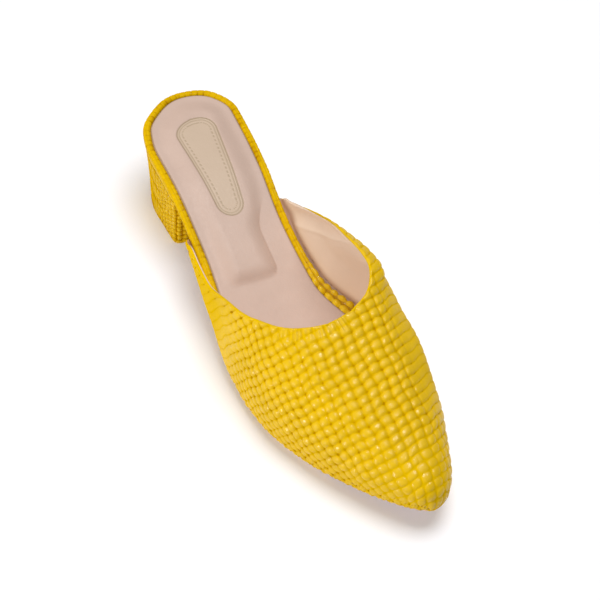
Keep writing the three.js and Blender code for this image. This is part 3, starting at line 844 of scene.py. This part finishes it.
def make_lining(nude, plain_top, top_path):
    sheet = vamp_sheet(**LINING_MESH, drop=lining_drop)
    x, z, medial = sheet["points"][:, 0], sheet["points"][:, 2], sheet["side"] > 0
    normals = vertex_normals(sheet["points"], sheet["faces"])
    distance, _ = near_distance(sheet["points"], top_path, SWELL_REACH)
    seam = SEAM_HEIGHT * bell(distance, *SEAM) * medial * rise(x, *SEAM_START) * fade(x, *SEAM_END)
    beside_rim = crown_medial(sheet["share"]) - WALL - rim_width(x, sheet["side"]) - 2 * GAP
    fill = FILL_SHARE * np.clip(beside_rim, 0, None) * medial * rise(x, *FILL_START)
    fill *= fade(x, *FILL_END) * fade(sheet["up"], *FILL_UP) * fade(sheet["tuck"], *FILL_TUCK)
    drawn_in = front_tuck(sheet, normals) - medial_swell(sheet, plain_top)
    outside = sheet["points"] - normals * (LEATHER + LINING_GAP + drawn_in)
    inside = sheet["points"] - normals * (WALL + (seam + fill)[:, None] + drawn_in)
    points, faces = join_sheets(sheet, outside, sheet, inside)
    # Painted shade in the crevice beside the rim, carried by the line attribute
    painted_shade = fade(z - sock_height(x), *CREVICE_HEIGHT) * fade(x, *CREVICE_END)
    add_piece("upper_lining", points, faces, [nude], ["upper"],
              {"line": np.tile(LINING_PAINTED_SHADE * painted_shade, 2)})


# Footbed rim

RIM_EXTRA = 3.6  # more width on the medial side, beside the vamp
RIM_WIDENS = (100, 144)
RIM_WIDE_END = (160, 192)
RIM_MEDIAL_NARROWS = (166, 192)
RIM_STEPS = 420
RIM_WALL_ROWS = 4
RIM_ROWS = 37
RIM_SQUARENESS = 0.8  # exponent of its section, 1 for a round one
RIM_RELIEF = 0.42
RIM_RELIEF_SIDES = 0.1  # more ahead of the heel's back
RIM_SIDES = (10, 45)
RIM_START = (0, 0.15)  # share of the section without relief
RIM_INSIDE = 0.93  # share of the section that lies against the sock
BEAD_START = (96, 128)  # the rim has two rows of beads on the medial side from here
BEAD_PITCH = 4.9
BEAD_SHIFT = 0.12  # of the second row, in pitches
BEAD_RELIEF = 1.1
BEAD_LEVEL = (0.9, 1.1)  # lowest and highest
BEAD_REACH = 1.05  # where a bead ends, in half pitches
BEAD_STEEPNESS = 2.6
# Tone from between the beads to their tops; the dark between them is painted shade
BEAD_TONE = (-0.2, 1)
RIM_LEVEL = (0.7, 0.5)  # the level of the band and of the beads that lies on the plain rim
RIM_POLISH = (0.1, 0.8)
GROOVE_PITCH = 3.3
GROOVE_SLANT = 0.2
BAND_TONE = 0.37
BAND_MOTTLE = 0.26
SECOND_ROW = (0.4, 0.6)
SECOND_ROW_SHADE = 0.16
RIM_GROOVE_SHADE = 0.3
# Painted shade: the part of the rim that lies against the sock, and its inner foot, are darkened so the gap
# beside the sock looks dark
RIM_GAP_SHADE_TONE = 0.1


def rim_width(station, side):
    """Width of the rim in plan, more on the medial side where it runs into the vamp."""
    narrows = np.where(side > 0, rise(station, *RIM_MEDIAL_NARROWS), passed(RIM_NARROWS, station))
    extra = RIM_EXTRA * rise(station, *RIM_WIDENS) * fade(station, *RIM_WIDE_END)
    return lerp(RIM_WIDTH, RIM_WIDTH_TOE, narrows) + np.where(side > 0, extra, 0)


def rim_relief(run, place, beads, chances):
    """Relief and tone along the rim at a place of its section: a grooved band, or two rows of beads."""
    row = math.floor(2 * place)
    a = 2 * np.abs((run / BEAD_PITCH + BEAD_SHIFT * row) % 1 - 0.5)
    b = 2 * abs(2 * place % 1 - 0.5)
    groove = 2 * np.abs((run / GROOVE_PITCH + GROOVE_SLANT * place) % 1 - 0.5)
    chance = chances[np.floor(run / BEAD_PITCH).astype(int) % CHANCES, row % CHANCES]
    bead = 1 - np.clip((a ** 3 + b ** 3) ** (1 / 3) / BEAD_REACH, 0, 1) ** BEAD_STEEPNESS
    band = (1 - 0.8 * groove ** 8) * (1 - 0.5 * b ** 3)
    dome = lerp(band, bead, beads) * lerp(*BEAD_LEVEL, chance)
    # the darker inner row, grooves and gaps between beads are painted shade; the mottle is random tone
    tone = BAND_TONE - SECOND_ROW_SHADE * rise(place, *SECOND_ROW) - RIM_GROOVE_SHADE * groove ** 6
    return dome, lerp(tone + BAND_MOTTLE * (chance - 0.5), lerp(*BEAD_TONE, dome), beads)


def make_footbed(woven):
    turns = np.linspace(0, 1, RIM_STEPS + 1)
    side = np.concatenate([np.full(RIM_STEPS + 1, MEDIAL), np.full(RIM_STEPS - 1, LATERAL)])
    station = share_at(np.concatenate([turns, turns[-2:0:-1]])) * LENGTH
    width = rim_width(station, side)
    under = -lerp(BED_UNDERCUT, SEAT_UNDERCUT, seat_share(station))
    chances = np.random.default_rng(SEED + 1).random((CHANCES, CHANCES))
    run = path_run(plan_ring(lambda x: width / 2, sock_height, RIM_STEPS))
    beads = np.where(side > 0, rise(station, *BEAD_START), 0)
    strength = RIM_RELIEF + RIM_RELIEF_SIDES * rise(station, *RIM_SIDES) + BEAD_RELIEF * beads

    rings, tones = [], []
    for part in np.arange(RIM_WALL_ROWS) / RIM_WALL_ROWS:
        rings.append(plan_ring(lambda x: lerp(under, width, part),
                               lambda x: lerp(bed_bottom(x), sock_height(x) - RIM_SHOULDER, part), RIM_STEPS))
        tones.append(np.full(len(run), PLAIN_TONE))
    for place in np.linspace(0, 1, RIM_ROWS):
        cos, sin = math.cos(place * np.pi), math.sin(place * np.pi)
        out, lift = math.copysign(abs(cos) ** RIM_SQUARENESS, cos), sin ** RIM_SQUARENESS
        dome, tone = rim_relief(run, place, beads, chances)
        raised = (dome - lerp(*RIM_LEVEL, beads)) * strength * rise(place, *RIM_START)
        rings.append(plan_ring(lambda x: (width + GAP) / 2 + (width - GAP) / 2 * out + raised * cos,
                               lambda x: sock_height(x) - RIM_SHOULDER + (RIM_SHOULDER + RIM_RISE) * lift
                               + raised * sin, RIM_STEPS))
        # painted shade in the gap against the sock
        tones.append(np.where(place > RIM_INSIDE, RIM_GAP_SHADE_TONE, tone))
    rings.append(plan_ring(lambda x: GAP, bed_top, RIM_STEPS))
    tones.append(np.full(len(run), RIM_GAP_SHADE_TONE))
    polish = np.tile(lerp(*RIM_POLISH, beads), len(rings))
    points, faces, _ = stack_rings(rings)
    add_piece("footbed_rim", points, faces, [woven], ["footbed"],
              {"relief": np.concatenate(tones), "polish": polish}, sharp=70)


# Sock

SOCK_REAR, SOCK_AHEAD, SOCK_ROWS = 330, 170, 120  # steps of its mesh, finer from the heel to FINE_END
FINE_END = 84
OUTLINE_STEPS = 400
EDGE_SIGHT = 60
EDGE_DROP = 0.5
EDGE_ROUND = (0, 1.1)
PAD_FRONT = 1.5  # its front edge behind the solid's, and how fast that bows back on both sides of a middle
PAD_FRONT_BOW = 0.006
PAD_FRONT_MIDDLE = -6
PAD_FLANK = 6.5  # its medial edge, further out by PAD_FLANK_REAR at the rear
PAD_FLANK_REAR = 16
PAD_FLANK_ZONE = (55, 88)
PAD_FRONT_SLOPE = 7
PAD_FLANK_SLOPE = 9
PAD_FOOT = (0, 0.12)
PAD_RIM = (PAD_MARGIN - 1, PAD_MARGIN + PAD_SLOPE + 4)
PAD_FRONT_RISE = 1.3
PAD_FRONT_ZONE = (66, 95)
LABEL_REAR = (16.3, -0.9, 11.7)  # x, y and half width of the label's rear end
LABEL_FRONT = (76.6, -3.8, 6.4)  # the same for its front end
LABEL_CORNER = 8.6  # rounding of its rear corners
LABEL_SLANT = 0.38  # how far its rear end is cut back on the lateral side
LABEL_DEPTH = 0.14
LABEL_WALL = (-1, 0.2)  # zones by the distance from its edge
LABEL_TINT = (-0.4, 0.4)
OUTLINE = (0, 0.34)  # distance from the label's edge and spread
INNER_OUTLINE = (-1.3, 0.3)
INNER_OUTLINE_SHARE = 0.6
STITCHES = (-3.1, 0.34)
STITCH_PITCH = 2.6
STITCH_LEVEL = -0.25  # a stitch is where the wave along the row is over this
OUTLINE_DEPTH, STITCH_DEPTH = 0.3, 0.16
# Ink of the label's outlines, stitches and tint, and painted shade in the crevice along the sock's edge
# beside the rim
OUTLINE_INK, STITCH_INK, LABEL_INK, SOCK_PAINTED_SHADE = 0.75, 0.5, 0.45, 0.7
SOCK_CREVICE = (0.1, 0.85)
SOCK_CREVICE_END = (150, 175)


def label_distance(x, y):
    """Signed distance in plan from the label's outline, negative inside it, and a run along its sides."""
    ax, ay, half_rear = LABEL_REAR
    bx, by, half_front = LABEL_FRONT
    length = math.hypot(bx - ax, by - ay)
    ux, uy = (bx - ax) / length, (by - ay) / length
    along = (x - ax) * ux + (y - ay) * uy
    across = -(x - ax) * uy + (y - ay) * ux
    part = np.clip(along / length, 0, 1)
    along = along - LABEL_SLANT * np.clip(-across, 0, None) * (1 - part) ** 3
    across = np.abs(across)
    half = lerp(half_rear, half_front, part)
    corner = lerp(LABEL_CORNER, half_front, part)
    over = np.abs(along - length / 2) - length / 2 + corner
    beside = across - half + corner
    outside = np.hypot(np.maximum(over, 0), np.maximum(beside, 0))
    d = outside + np.minimum(np.maximum(over, beside), 0) - corner
    turned = np.arctan2(np.maximum(over, 0), np.maximum(beside, TINY)) * corner
    return d, np.where(along > length / 2, along + turned, along - turned)


def pad_share(x, y, edge):
    """Share of the cushion's height, falling off towards the sock's edge, the front and the medial flank."""
    front = PAD_END - PAD_FRONT - PAD_FRONT_BOW * (y - PAD_FRONT_MIDDLE) ** 2
    flank = PAD_FLANK + PAD_FLANK_REAR * fade(x, *PAD_FLANK_ZONE)
    ahead = np.maximum(x - front + PAD_FRONT_SLOPE, 0) / PAD_FRONT_SLOPE
    beside = np.maximum(y - flank + PAD_FLANK_SLOPE, 0) / PAD_FLANK_SLOPE
    step = np.clip(1 - np.hypot(ahead ** 2, beside ** 2) ** 0.5, 0, 1)
    return rise(edge, *PAD_RIM) * (1 - (1 - step) ** 2) * rise(step, *PAD_FOOT)


def make_sock(nude):
    split = turn_at(FINE_END / LENGTH)
    turn = np.concatenate([np.linspace(0, split, SOCK_REAR + 1), np.linspace(split, 1, SOCK_AHEAD + 1)[1:]])
    share = np.linspace(0, 1, SOCK_ROWS + 1)[None, :, None]
    medial, lateral = (edge_point(turn[:, None], side) for side in (MEDIAL, LATERAL))
    plan = lateral + (medial - lateral) * share
    x, y = plan[..., 0], plan[..., 1]
    outline = plan_ring(np.zeros_like, np.zeros_like, OUTLINE_STEPS)
    flat = np.column_stack([x.ravel(), y.ravel(), np.zeros(x.size)])
    edge = near_distance(flat, outline, EDGE_SIGHT)[0].reshape(x.shape)
    cushion = PAD_RISE + PAD_FRONT_RISE * rise(x, *PAD_FRONT_ZONE)
    z = sock_height(x) + cushion * pad_share(x, y, edge) - EDGE_DROP * fade(edge, *EDGE_ROUND) ** 2

    d, along = label_distance(x, y)
    outlines = bell(d, *OUTLINE) + INNER_OUTLINE_SHARE * bell(d, *INNER_OUTLINE)
    stitches = bell(d, *STITCHES) * (np.sin(2 * np.pi * along / STITCH_PITCH) > STITCH_LEVEL)
    # Painted shade in the crevice along the sock's edge; the label's outlines and stitches are print
    painted_shade = fade(edge, *SOCK_CREVICE) * fade(x, *SOCK_CREVICE_END)
    lines_and_shade = OUTLINE_INK * outlines + STITCH_INK * stitches + SOCK_PAINTED_SHADE * painted_shade
    z = z - OUTLINE_DEPTH * outlines - STITCH_DEPTH * stitches - LABEL_DEPTH * fade(d, *LABEL_WALL)
    mark = LABEL_INK * fade(d, *LABEL_TINT)

    ids = np.arange(x.size).reshape(x.shape)
    ids[0, :] = ids[0, 0]
    ids[-1, :] = ids[-1, 0]
    top = np.stack([x, y, z], -1).reshape(-1, 3)
    under = np.concatenate([np.column_stack([x[:, c], y[:, c], bed_top(x[:, c]) + GAP]) for c in (0, -1)])
    points = np.concatenate([top, under])
    low = np.arange(len(under)).reshape(2, -1).T + len(top)
    low[0, 1], low[-1, 1] = low[0, 0], low[-1, 0]
    faces = np.concatenate([grid_faces(ids, points), grid_faces(low, points)[:, ::-1],
                            grid_faces(np.stack([ids[:, 0], low[:, 0]], 1), points),
                            grid_faces(np.stack([ids[:, -1], low[:, 1]], 1), points)])
    used, faces = np.unique(faces, return_inverse=True)
    mark, lines_and_shade = (np.pad(values.ravel(), (0, len(under)))[used] for values in (mark, lines_and_shade))
    piece = add_piece("sock_pad", points[used], faces.reshape(-1, 3), [nude], ["sock"],
                      {"mark": mark, "line": lines_and_shade}, sharp=60)


# Heel

HEEL_LEVELS, HEEL_STEPS, BREAST_STEPS = 84, 150, 48
CORNER_PASSES = 25  # how much the front corners are rounded
CORNER_STEPS = (9, 16)  # steps from a corner over which the rounding ends
HEEL_MIDDLE = (30, 0, 20)
KNOB_START = (24, 44)  # long strips at the back pass into knobs at the front
STRIP_PITCH, STRIP_LENGTH = 4, 12
KNOB_LENGTH, KNOB_SLANT = 3.4, 0.3
HEEL_RELIEF = (0.45, 1.6)  # of strips and of knobs
HEEL_POWER = (0.6, 1)
HEEL_LEVEL = 0.6
HEEL_TOP = (0, 0.05)  # shares of the height without relief at the top and the foot
HEEL_FOOT = (0.95, 0.985)
# Tones of the strips and knobs from their valleys to their tops: the heel is kept darker than the vamp, and
# darkest in the valleys, as painted shade
STRIP_TONE = (0, 0.38)
KNOB_TONE = (-0.2, 0.7)
KNOB_POLISH = 0.5
KNOB_POLISH_LEVEL = (0.3, 0.7)


def heel_ring(down, near_corner):
    """Outline of the heel at a share of the way down: medial side, lateral side, then the breast."""
    bend = 1 - (1 - down) ** HEEL_FLARE
    offset = lerp(HEEL_TOP_EDGE, HEEL_FOOT_EDGE, bend)
    breast = lerp(BREAST_TOP, BREAST_FOOT, bend)
    part = np.linspace(0, 1, HEEL_STEPS + 1)
    turn = turn_at(breast / LENGTH) * part
    sides = []
    for side in (MEDIAL, LATERAL):
        p = offset_point(turn, np.full(len(part), side), np.full(len(part), offset))
        p[:, 0] += HEEL_FOOT_SHIFT * bend * (1 - part)
        p[-1, 0] = breast
        sides.append(p)
    medial, lateral = sides
    front = lateral[-1] + (medial[-1] - lateral[-1]) * np.linspace(0, 1, BREAST_STEPS + 1)[1:-1, None]
    plan = np.concatenate([medial[::-1], lateral[1:], front])
    for _ in range(CORNER_PASSES):
        plan = plan + 0.5 * near_corner * ((np.roll(plan, 1, 0) + np.roll(plan, -1, 0)) / 2 - plan)
    return np.column_stack([plan, outsole_top(plan[:, 0]) * (1 - down)])


def make_heel(woven, rubber):
    order = np.arange(2 * HEEL_STEPS + BREAST_STEPS)
    from_corner = np.minimum(np.minimum(order, len(order) - order), np.abs(order - 2 * HEEL_STEPS))
    near_corner = fade(from_corner, *CORNER_STEPS)[:, None]
    levels = np.linspace(0, 1, HEEL_LEVELS + 1)
    rings = [heel_ring(down, near_corner) for down in levels]
    points, faces, sides = stack_rings(rings)
    run = np.tile(path_run(rings[0]), len(levels))
    down = np.repeat(levels, len(order))
    drop = down * outsole_top(points[:, 0])
    knobs = rise(points[:, 0], *KNOB_START)
    strips, _ = weave(run / STRIP_PITCH, drop / STRIP_LENGTH, SEED + 2)
    studs, _ = weave(run / STRIP_PITCH + KNOB_SLANT * down, drop / KNOB_LENGTH, SEED + 3)
    pillow = lerp(strips, studs, knobs)
    strength = lerp(*HEEL_RELIEF, knobs) * rise(down, *HEEL_TOP) * fade(down, *HEEL_FOOT)
    normals = vertex_normals(points, faces[:sides])
    if np.sum(normals * (points - np.array(HEEL_MIDDLE))) < 0:
        normals = -normals
    normals[:, 2] = 0
    height = (pillow ** lerp(*HEEL_POWER, knobs) - HEEL_LEVEL) * strength
    tone = lerp(lerp(*STRIP_TONE, pillow), lerp(*KNOB_TONE, pillow), knobs)
    foot_cap = np.arange(len(faces)) >= sides + len(order) - 2
    points = points + normals * height[:, None]
    add_piece("heel_block", points, faces, [woven, rubber], ["heel"],
              {"relief": tone, "polish": KNOB_POLISH * knobs * rise(pillow, *KNOB_POLISH_LEVEL)},
              foot_cap, sharp=55)


# Outsole

OUTSOLE_COLUMNS, OUTSOLE_ROWS = 520, 40
OUTSOLE_IN = {LATERAL: 1.6, MEDIAL: 0.5}  # how far its edge is further in than the solid's at the front
OUTSOLE_IN_START = {LATERAL: (110, 150), MEDIAL: (165, 195)}
TREAD_PITCH = 1.6  # from rib to rib
TREAD_DEPTH = 0.35
TREAD_WAVE, TREAD_WAVE_LENGTH = 2.2, 34
TREAD_MARGIN = 0.06  # share of the width without ribs on each side


def make_outsole(rubber):
    start = BREAST_TOP + GAP
    turn = np.linspace(turn_at(start / LENGTH), 1, OUTSOLE_COLUMNS + 1)[:, None]
    share = np.linspace(0, 1, OUTSOLE_ROWS + 1)[None, :]

    def edge(side, inset):
        inset = inset + OUTSOLE_IN[side] * rise(share_at(turn) * LENGTH, *OUTSOLE_IN_START[side])
        return offset_point(turn, np.full(turn.shape, side), OUTSOLE_EDGE - inset)

    def sheet(inset, height):
        medial, lateral = edge(MEDIAL, inset), edge(LATERAL, inset)
        plan = lateral + (medial - lateral) * share[..., None]
        x, y = np.maximum(plan[..., 0], start), plan[..., 1]
        return np.stack([x, y, height(x, y)], -1)

    def ribs(x, y):
        wave = TREAD_WAVE * np.sin(2 * np.pi * y / TREAD_WAVE_LENGTH)
        rib = 0.5 + 0.5 * np.cos(2 * np.pi * (x + wave) / TREAD_PITCH)
        margin = rise(share, 0, TREAD_MARGIN) * fade(share, 1 - TREAD_MARGIN, 1)
        return outsole_bottom(x) + TREAD_DEPTH * rib * margin

    sheets = [sheet(OUTSOLE_ROUND, ribs),
              sheet(0, lambda x, y: outsole_bottom(x) + OUTSOLE_ROUND),
              sheet(0, lambda x, y: outsole_top(x))]
    points = np.concatenate([level.reshape(-1, 3) for level in sheets])
    size = turn.size * share.size
    ids = np.arange(size).reshape(turn.size, share.size)
    faces = [grid_faces(ids, points)[:, ::-1], grid_faces(ids + 2 * size, points)]
    loop = np.concatenate([ids[:, 0], ids[-1, 1:], ids[-2::-1, -1], ids[0, -2::-1]])
    for level in (0, 1):
        faces.append(grid_faces(np.stack([loop + level * size, loop + (level + 1) * size]), points))
    used, faces = np.unique(np.concatenate(faces), return_inverse=True)
    faces = faces.reshape(-1, 3)
    add_piece("outsole_sheet", points[used], faces, [rubber], ["outsole"], sharp=50)


# Materials

LABEL_COLOUR = (186, 168, 136)
NOISE_ROUGHNESS = 0.55
NOISE_ENDS = (0.3, 0.7)  # the part of a noise's range that it mostly stays in
FLOOR_COLOURS = (0.89, 0.89, 0.925, 1), (0.91, 0.91, 0.945, 1)


def linear(red, green, blue):
    """A colour as seen on a screen, from 0 to 255, as the shader's linear colour."""
    parts = [c / 255 for c in (red, green, blue)]
    return tuple(c / 12.92 if c <= 0.04045 else ((c + 0.055) / 1.055) ** 2.4 for c in parts) + (1.0,)


def grey(value):
    return (value, value, value, 1.0)


class Surface:
    """A material under construction. Methods that add a node return its output."""

    def __init__(self, name):
        self.material = bpy.data.materials.new(name)
        self.material.use_nodes = True
        self.tree = self.material.node_tree
        self.position = self.add("TexCoord", "Object", {})

    def feed(self, node, inputs):
        """Links outputs to a node's inputs, or sets constants on them."""
        for key, value in inputs.items():
            if isinstance(value, bpy.types.NodeSocket):
                self.tree.links.new(value, node.inputs[key])
            else:
                node.inputs[key].default_value = value

    def add(self, kind, output, inputs, **settings):
        node = self.tree.nodes.new("ShaderNode" + kind)
        for key, value in settings.items():
            setattr(node, key, value)
        self.feed(node, inputs)
        return node.outputs[output]

    def finish(self, **inputs):
        """Feeds the shader, whose inputs are named with underscores for spaces."""
        inputs = {key.replace("_", " "): value for key, value in inputs.items()}
        self.feed(self.tree.nodes["Principled BSDF"], inputs)
        return self.material

    def attribute(self, name):
        return self.add("Attribute", "Fac", {}, attribute_name=name)

    def noise(self, scale, detail):
        return self.add("TexNoise", "Fac", {"Vector": self.position, "Scale": scale, "Detail": detail,
                                            "Roughness": NOISE_ROUGHNESS})

    def grain(self, scale):
        return self.add("TexVoronoi", "Distance", {"Vector": self.position, "Scale": scale})

    def ramp(self, factor, stops):
        colours = self.add("ValToRGB", "Color", {"Fac": factor})
        elements = colours.node.color_ramp.elements
        while len(elements) < len(stops):
            elements.new(0.5)
        for element, (place, colour) in zip(elements, stops):
            element.position = place
            element.color = colour
        return colours

    def patches(self, scale, detail, low, high):
        """Noise from one colour to another."""
        return self.ramp(self.noise(scale, detail), list(zip(NOISE_ENDS, (low, high))))

    def mix(self, factor, first, second, blend="MIX"):
        inputs = {"Factor": factor, "A": first, "B": second}
        return self.add("Mix", "Result", inputs, data_type="RGBA", blend_type=blend)

    def product(self, first, second):
        return self.add("Math", "Value", {0: first, 1: second}, operation="MULTIPLY")

    def bumps(self, *layers):
        """Bump layers, each a height with a strength and a distance in metres."""
        below = {}
        for height, strength, distance in layers:
            inputs = {"Height": height, "Strength": strength, "Distance": distance}
            below = {"Normal": self.add("Bump", "Normal", inputs | below)}
        return below["Normal"]


def woven_leather():
    s = Surface("woven_leather")
    # Colour by the tone in the relief attribute, darker towards the hollows as painted shade
    tone_and_shade = s.ramp(s.attribute("relief"), [
        (0.0, linear(178, 130, 0)),
        (0.16, linear(206, 163, 1)),
        (0.45, linear(216, 174, 3)),
        (1.0, linear(221, 180, 6)),
    ])
    polish = s.attribute("polish")
    specks = s.ramp(s.noise(520, 1), [(0.55, grey(0.05)), (0.67, grey(0.8))])
    return s.finish(
        Base_Color=s.mix(1.0, tone_and_shade, s.patches(60, 4, grey(0.9), grey(1.0)), "MULTIPLY"),
        Roughness=s.patches(900, 2, grey(0.36), grey(0.54)),
        Coat_Weight=s.product(specks, polish),
        Coat_Roughness=0.1,
        Specular_IOR_Level=s.product(polish, 0.24),
        Normal=s.bumps((s.noise(420, 3), 0.35, 0.0003), (s.grain(1500), 0.18, 0.0001)),
    )


def nude_leather(name, dark, light, ink_and_shade):
    s = Surface(name)
    base = s.patches(45, 4, dark, light)
    label = s.mix(s.attribute("mark"), base, linear(*LABEL_COLOUR))
    return s.finish(
        # the line attribute mixes in printed lines and painted shade in crevices
        Base_Color=s.mix(s.attribute("line"), label, ink_and_shade),
        Roughness=s.patches(700, 2, grey(0.5), grey(0.62)),
        Normal=s.bumps((s.noise(120, 3), 0.25, 0.0006), (s.grain(1300), 0.2, 0.0001)),
    )


def nude_rubber():
    s = Surface("nude_rubber")
    return s.finish(
        Base_Color=s.patches(50, 4, linear(208, 174, 158), linear(220, 188, 172)),
        Roughness=s.patches(800, 2, grey(0.62), grey(0.75)),
        Normal=s.bumps((s.noise(1600, 2), 0.3, 0.0001)),
    )


def floor_paper():
    s = Surface("floor_paper")
    return s.finish(Base_Color=s.patches(8, 3, *FLOOR_COLOURS), Roughness=0.9, Specular_IOR_Level=0.1)


# Studio, in metres

CAMERA_PLACE = (0.6770, -0.4237, 0.8676)  # fitted to the photo, as is the lens
CAMERA_AIM = (0.006, -0.001, 0.03)  # middle of the shoe
CAMERA_RIGHT = (0.4457, 0.8905, 0.0919)  # direction of the picture's right side, for the camera's roll
FOCAL_PIXELS = 2383
IMAGE_PIXELS = 600
SENSOR = 36  # millimetres
CLIP_END = 20
FLOOR_HALF = 4.0
WORLD_STRENGTH = 0.265


def make_camera():
    back = (Vector(CAMERA_PLACE) - Vector(CAMERA_AIM)).normalized()
    right = Vector(CAMERA_RIGHT)
    right = (right - back * right.dot(back)).normalized()
    data = bpy.data.cameras.new("photo_camera")
    data.sensor_width = SENSOR
    data.lens = SENSOR * FOCAL_PIXELS / IMAGE_PIXELS
    data.clip_end = CLIP_END
    camera = bpy.data.objects.new("photo_camera", data)
    rotation = Matrix((right, back.cross(right), back)).transposed()
    camera.matrix_world = Matrix.Translation(CAMERA_PLACE) @ rotation.to_4x4()
    bpy.context.collection.objects.link(camera)
    bpy.context.scene.camera = camera


def add_area_light(name, place, target, size, power, shadow=True):
    data = bpy.data.lights.new(name, "AREA")
    data.shape = "DISK"
    data.size = size
    data.energy = power
    data.use_shadow = shadow
    light = bpy.data.objects.new(name, data)
    light.location = place
    light.rotation_euler = (Vector(target) - Vector(place)).to_track_quat("-Z", "Y").to_euler()
    bpy.context.collection.objects.link(light)


def make_studio():
    mesh = bpy.data.meshes.new("floor")
    corners = [(x * FLOOR_HALF, y * FLOOR_HALF, 0) for x, y in ((-1, -1), (1, -1), (1, 1), (-1, 1))]
    mesh.from_pydata(corners, [], [(0, 1, 2, 3)])
    mesh.materials.append(floor_paper())
    floor = bpy.data.objects.new("floor", mesh)
    bpy.context.collection.objects.link(floor)
    world = bpy.data.worlds.new("studio")
    world.use_nodes = True
    background = world.node_tree.nodes["Background"]
    background.inputs["Color"].default_value = (1, 1, 1, 1)
    background.inputs["Strength"].default_value = WORLD_STRENGTH
    bpy.context.scene.world = world
    bpy.context.scene.view_settings.view_transform = "Standard"
    add_area_light("top", (-0.08, 0.16, 1.45), target=(0.02, 0, 0), size=1.1, power=16)
    add_area_light("side", (0.2, -1.35, 0.4), target=(0.02, 0, 0.03), size=0.7, power=12, shadow=False)
    add_area_light("glint", (-0.25, 0.05, 1.2), target=(0.06, 0, 0), size=0.06, power=1.7, shadow=False)


make_camera()
yellow = woven_leather()
# The last colour of each is for the line attribute: the label's print and painted crevice shade on the sock,
# painted crevice shade on the lining
nude = nude_leather("nude_leather", linear(185, 159, 144), linear(191, 165, 150), linear(126, 106, 68))
lining = nude_leather("lining_leather", linear(217, 190, 165), linear(223, 196, 171), linear(140, 92, 62))
rubber = nude_rubber()
make_lining(lining, *make_leather(yellow))
make_footbed(yellow)
make_sock(nude)
make_heel(yellow, rubber)
make_outsole(rubber)
make_studio()
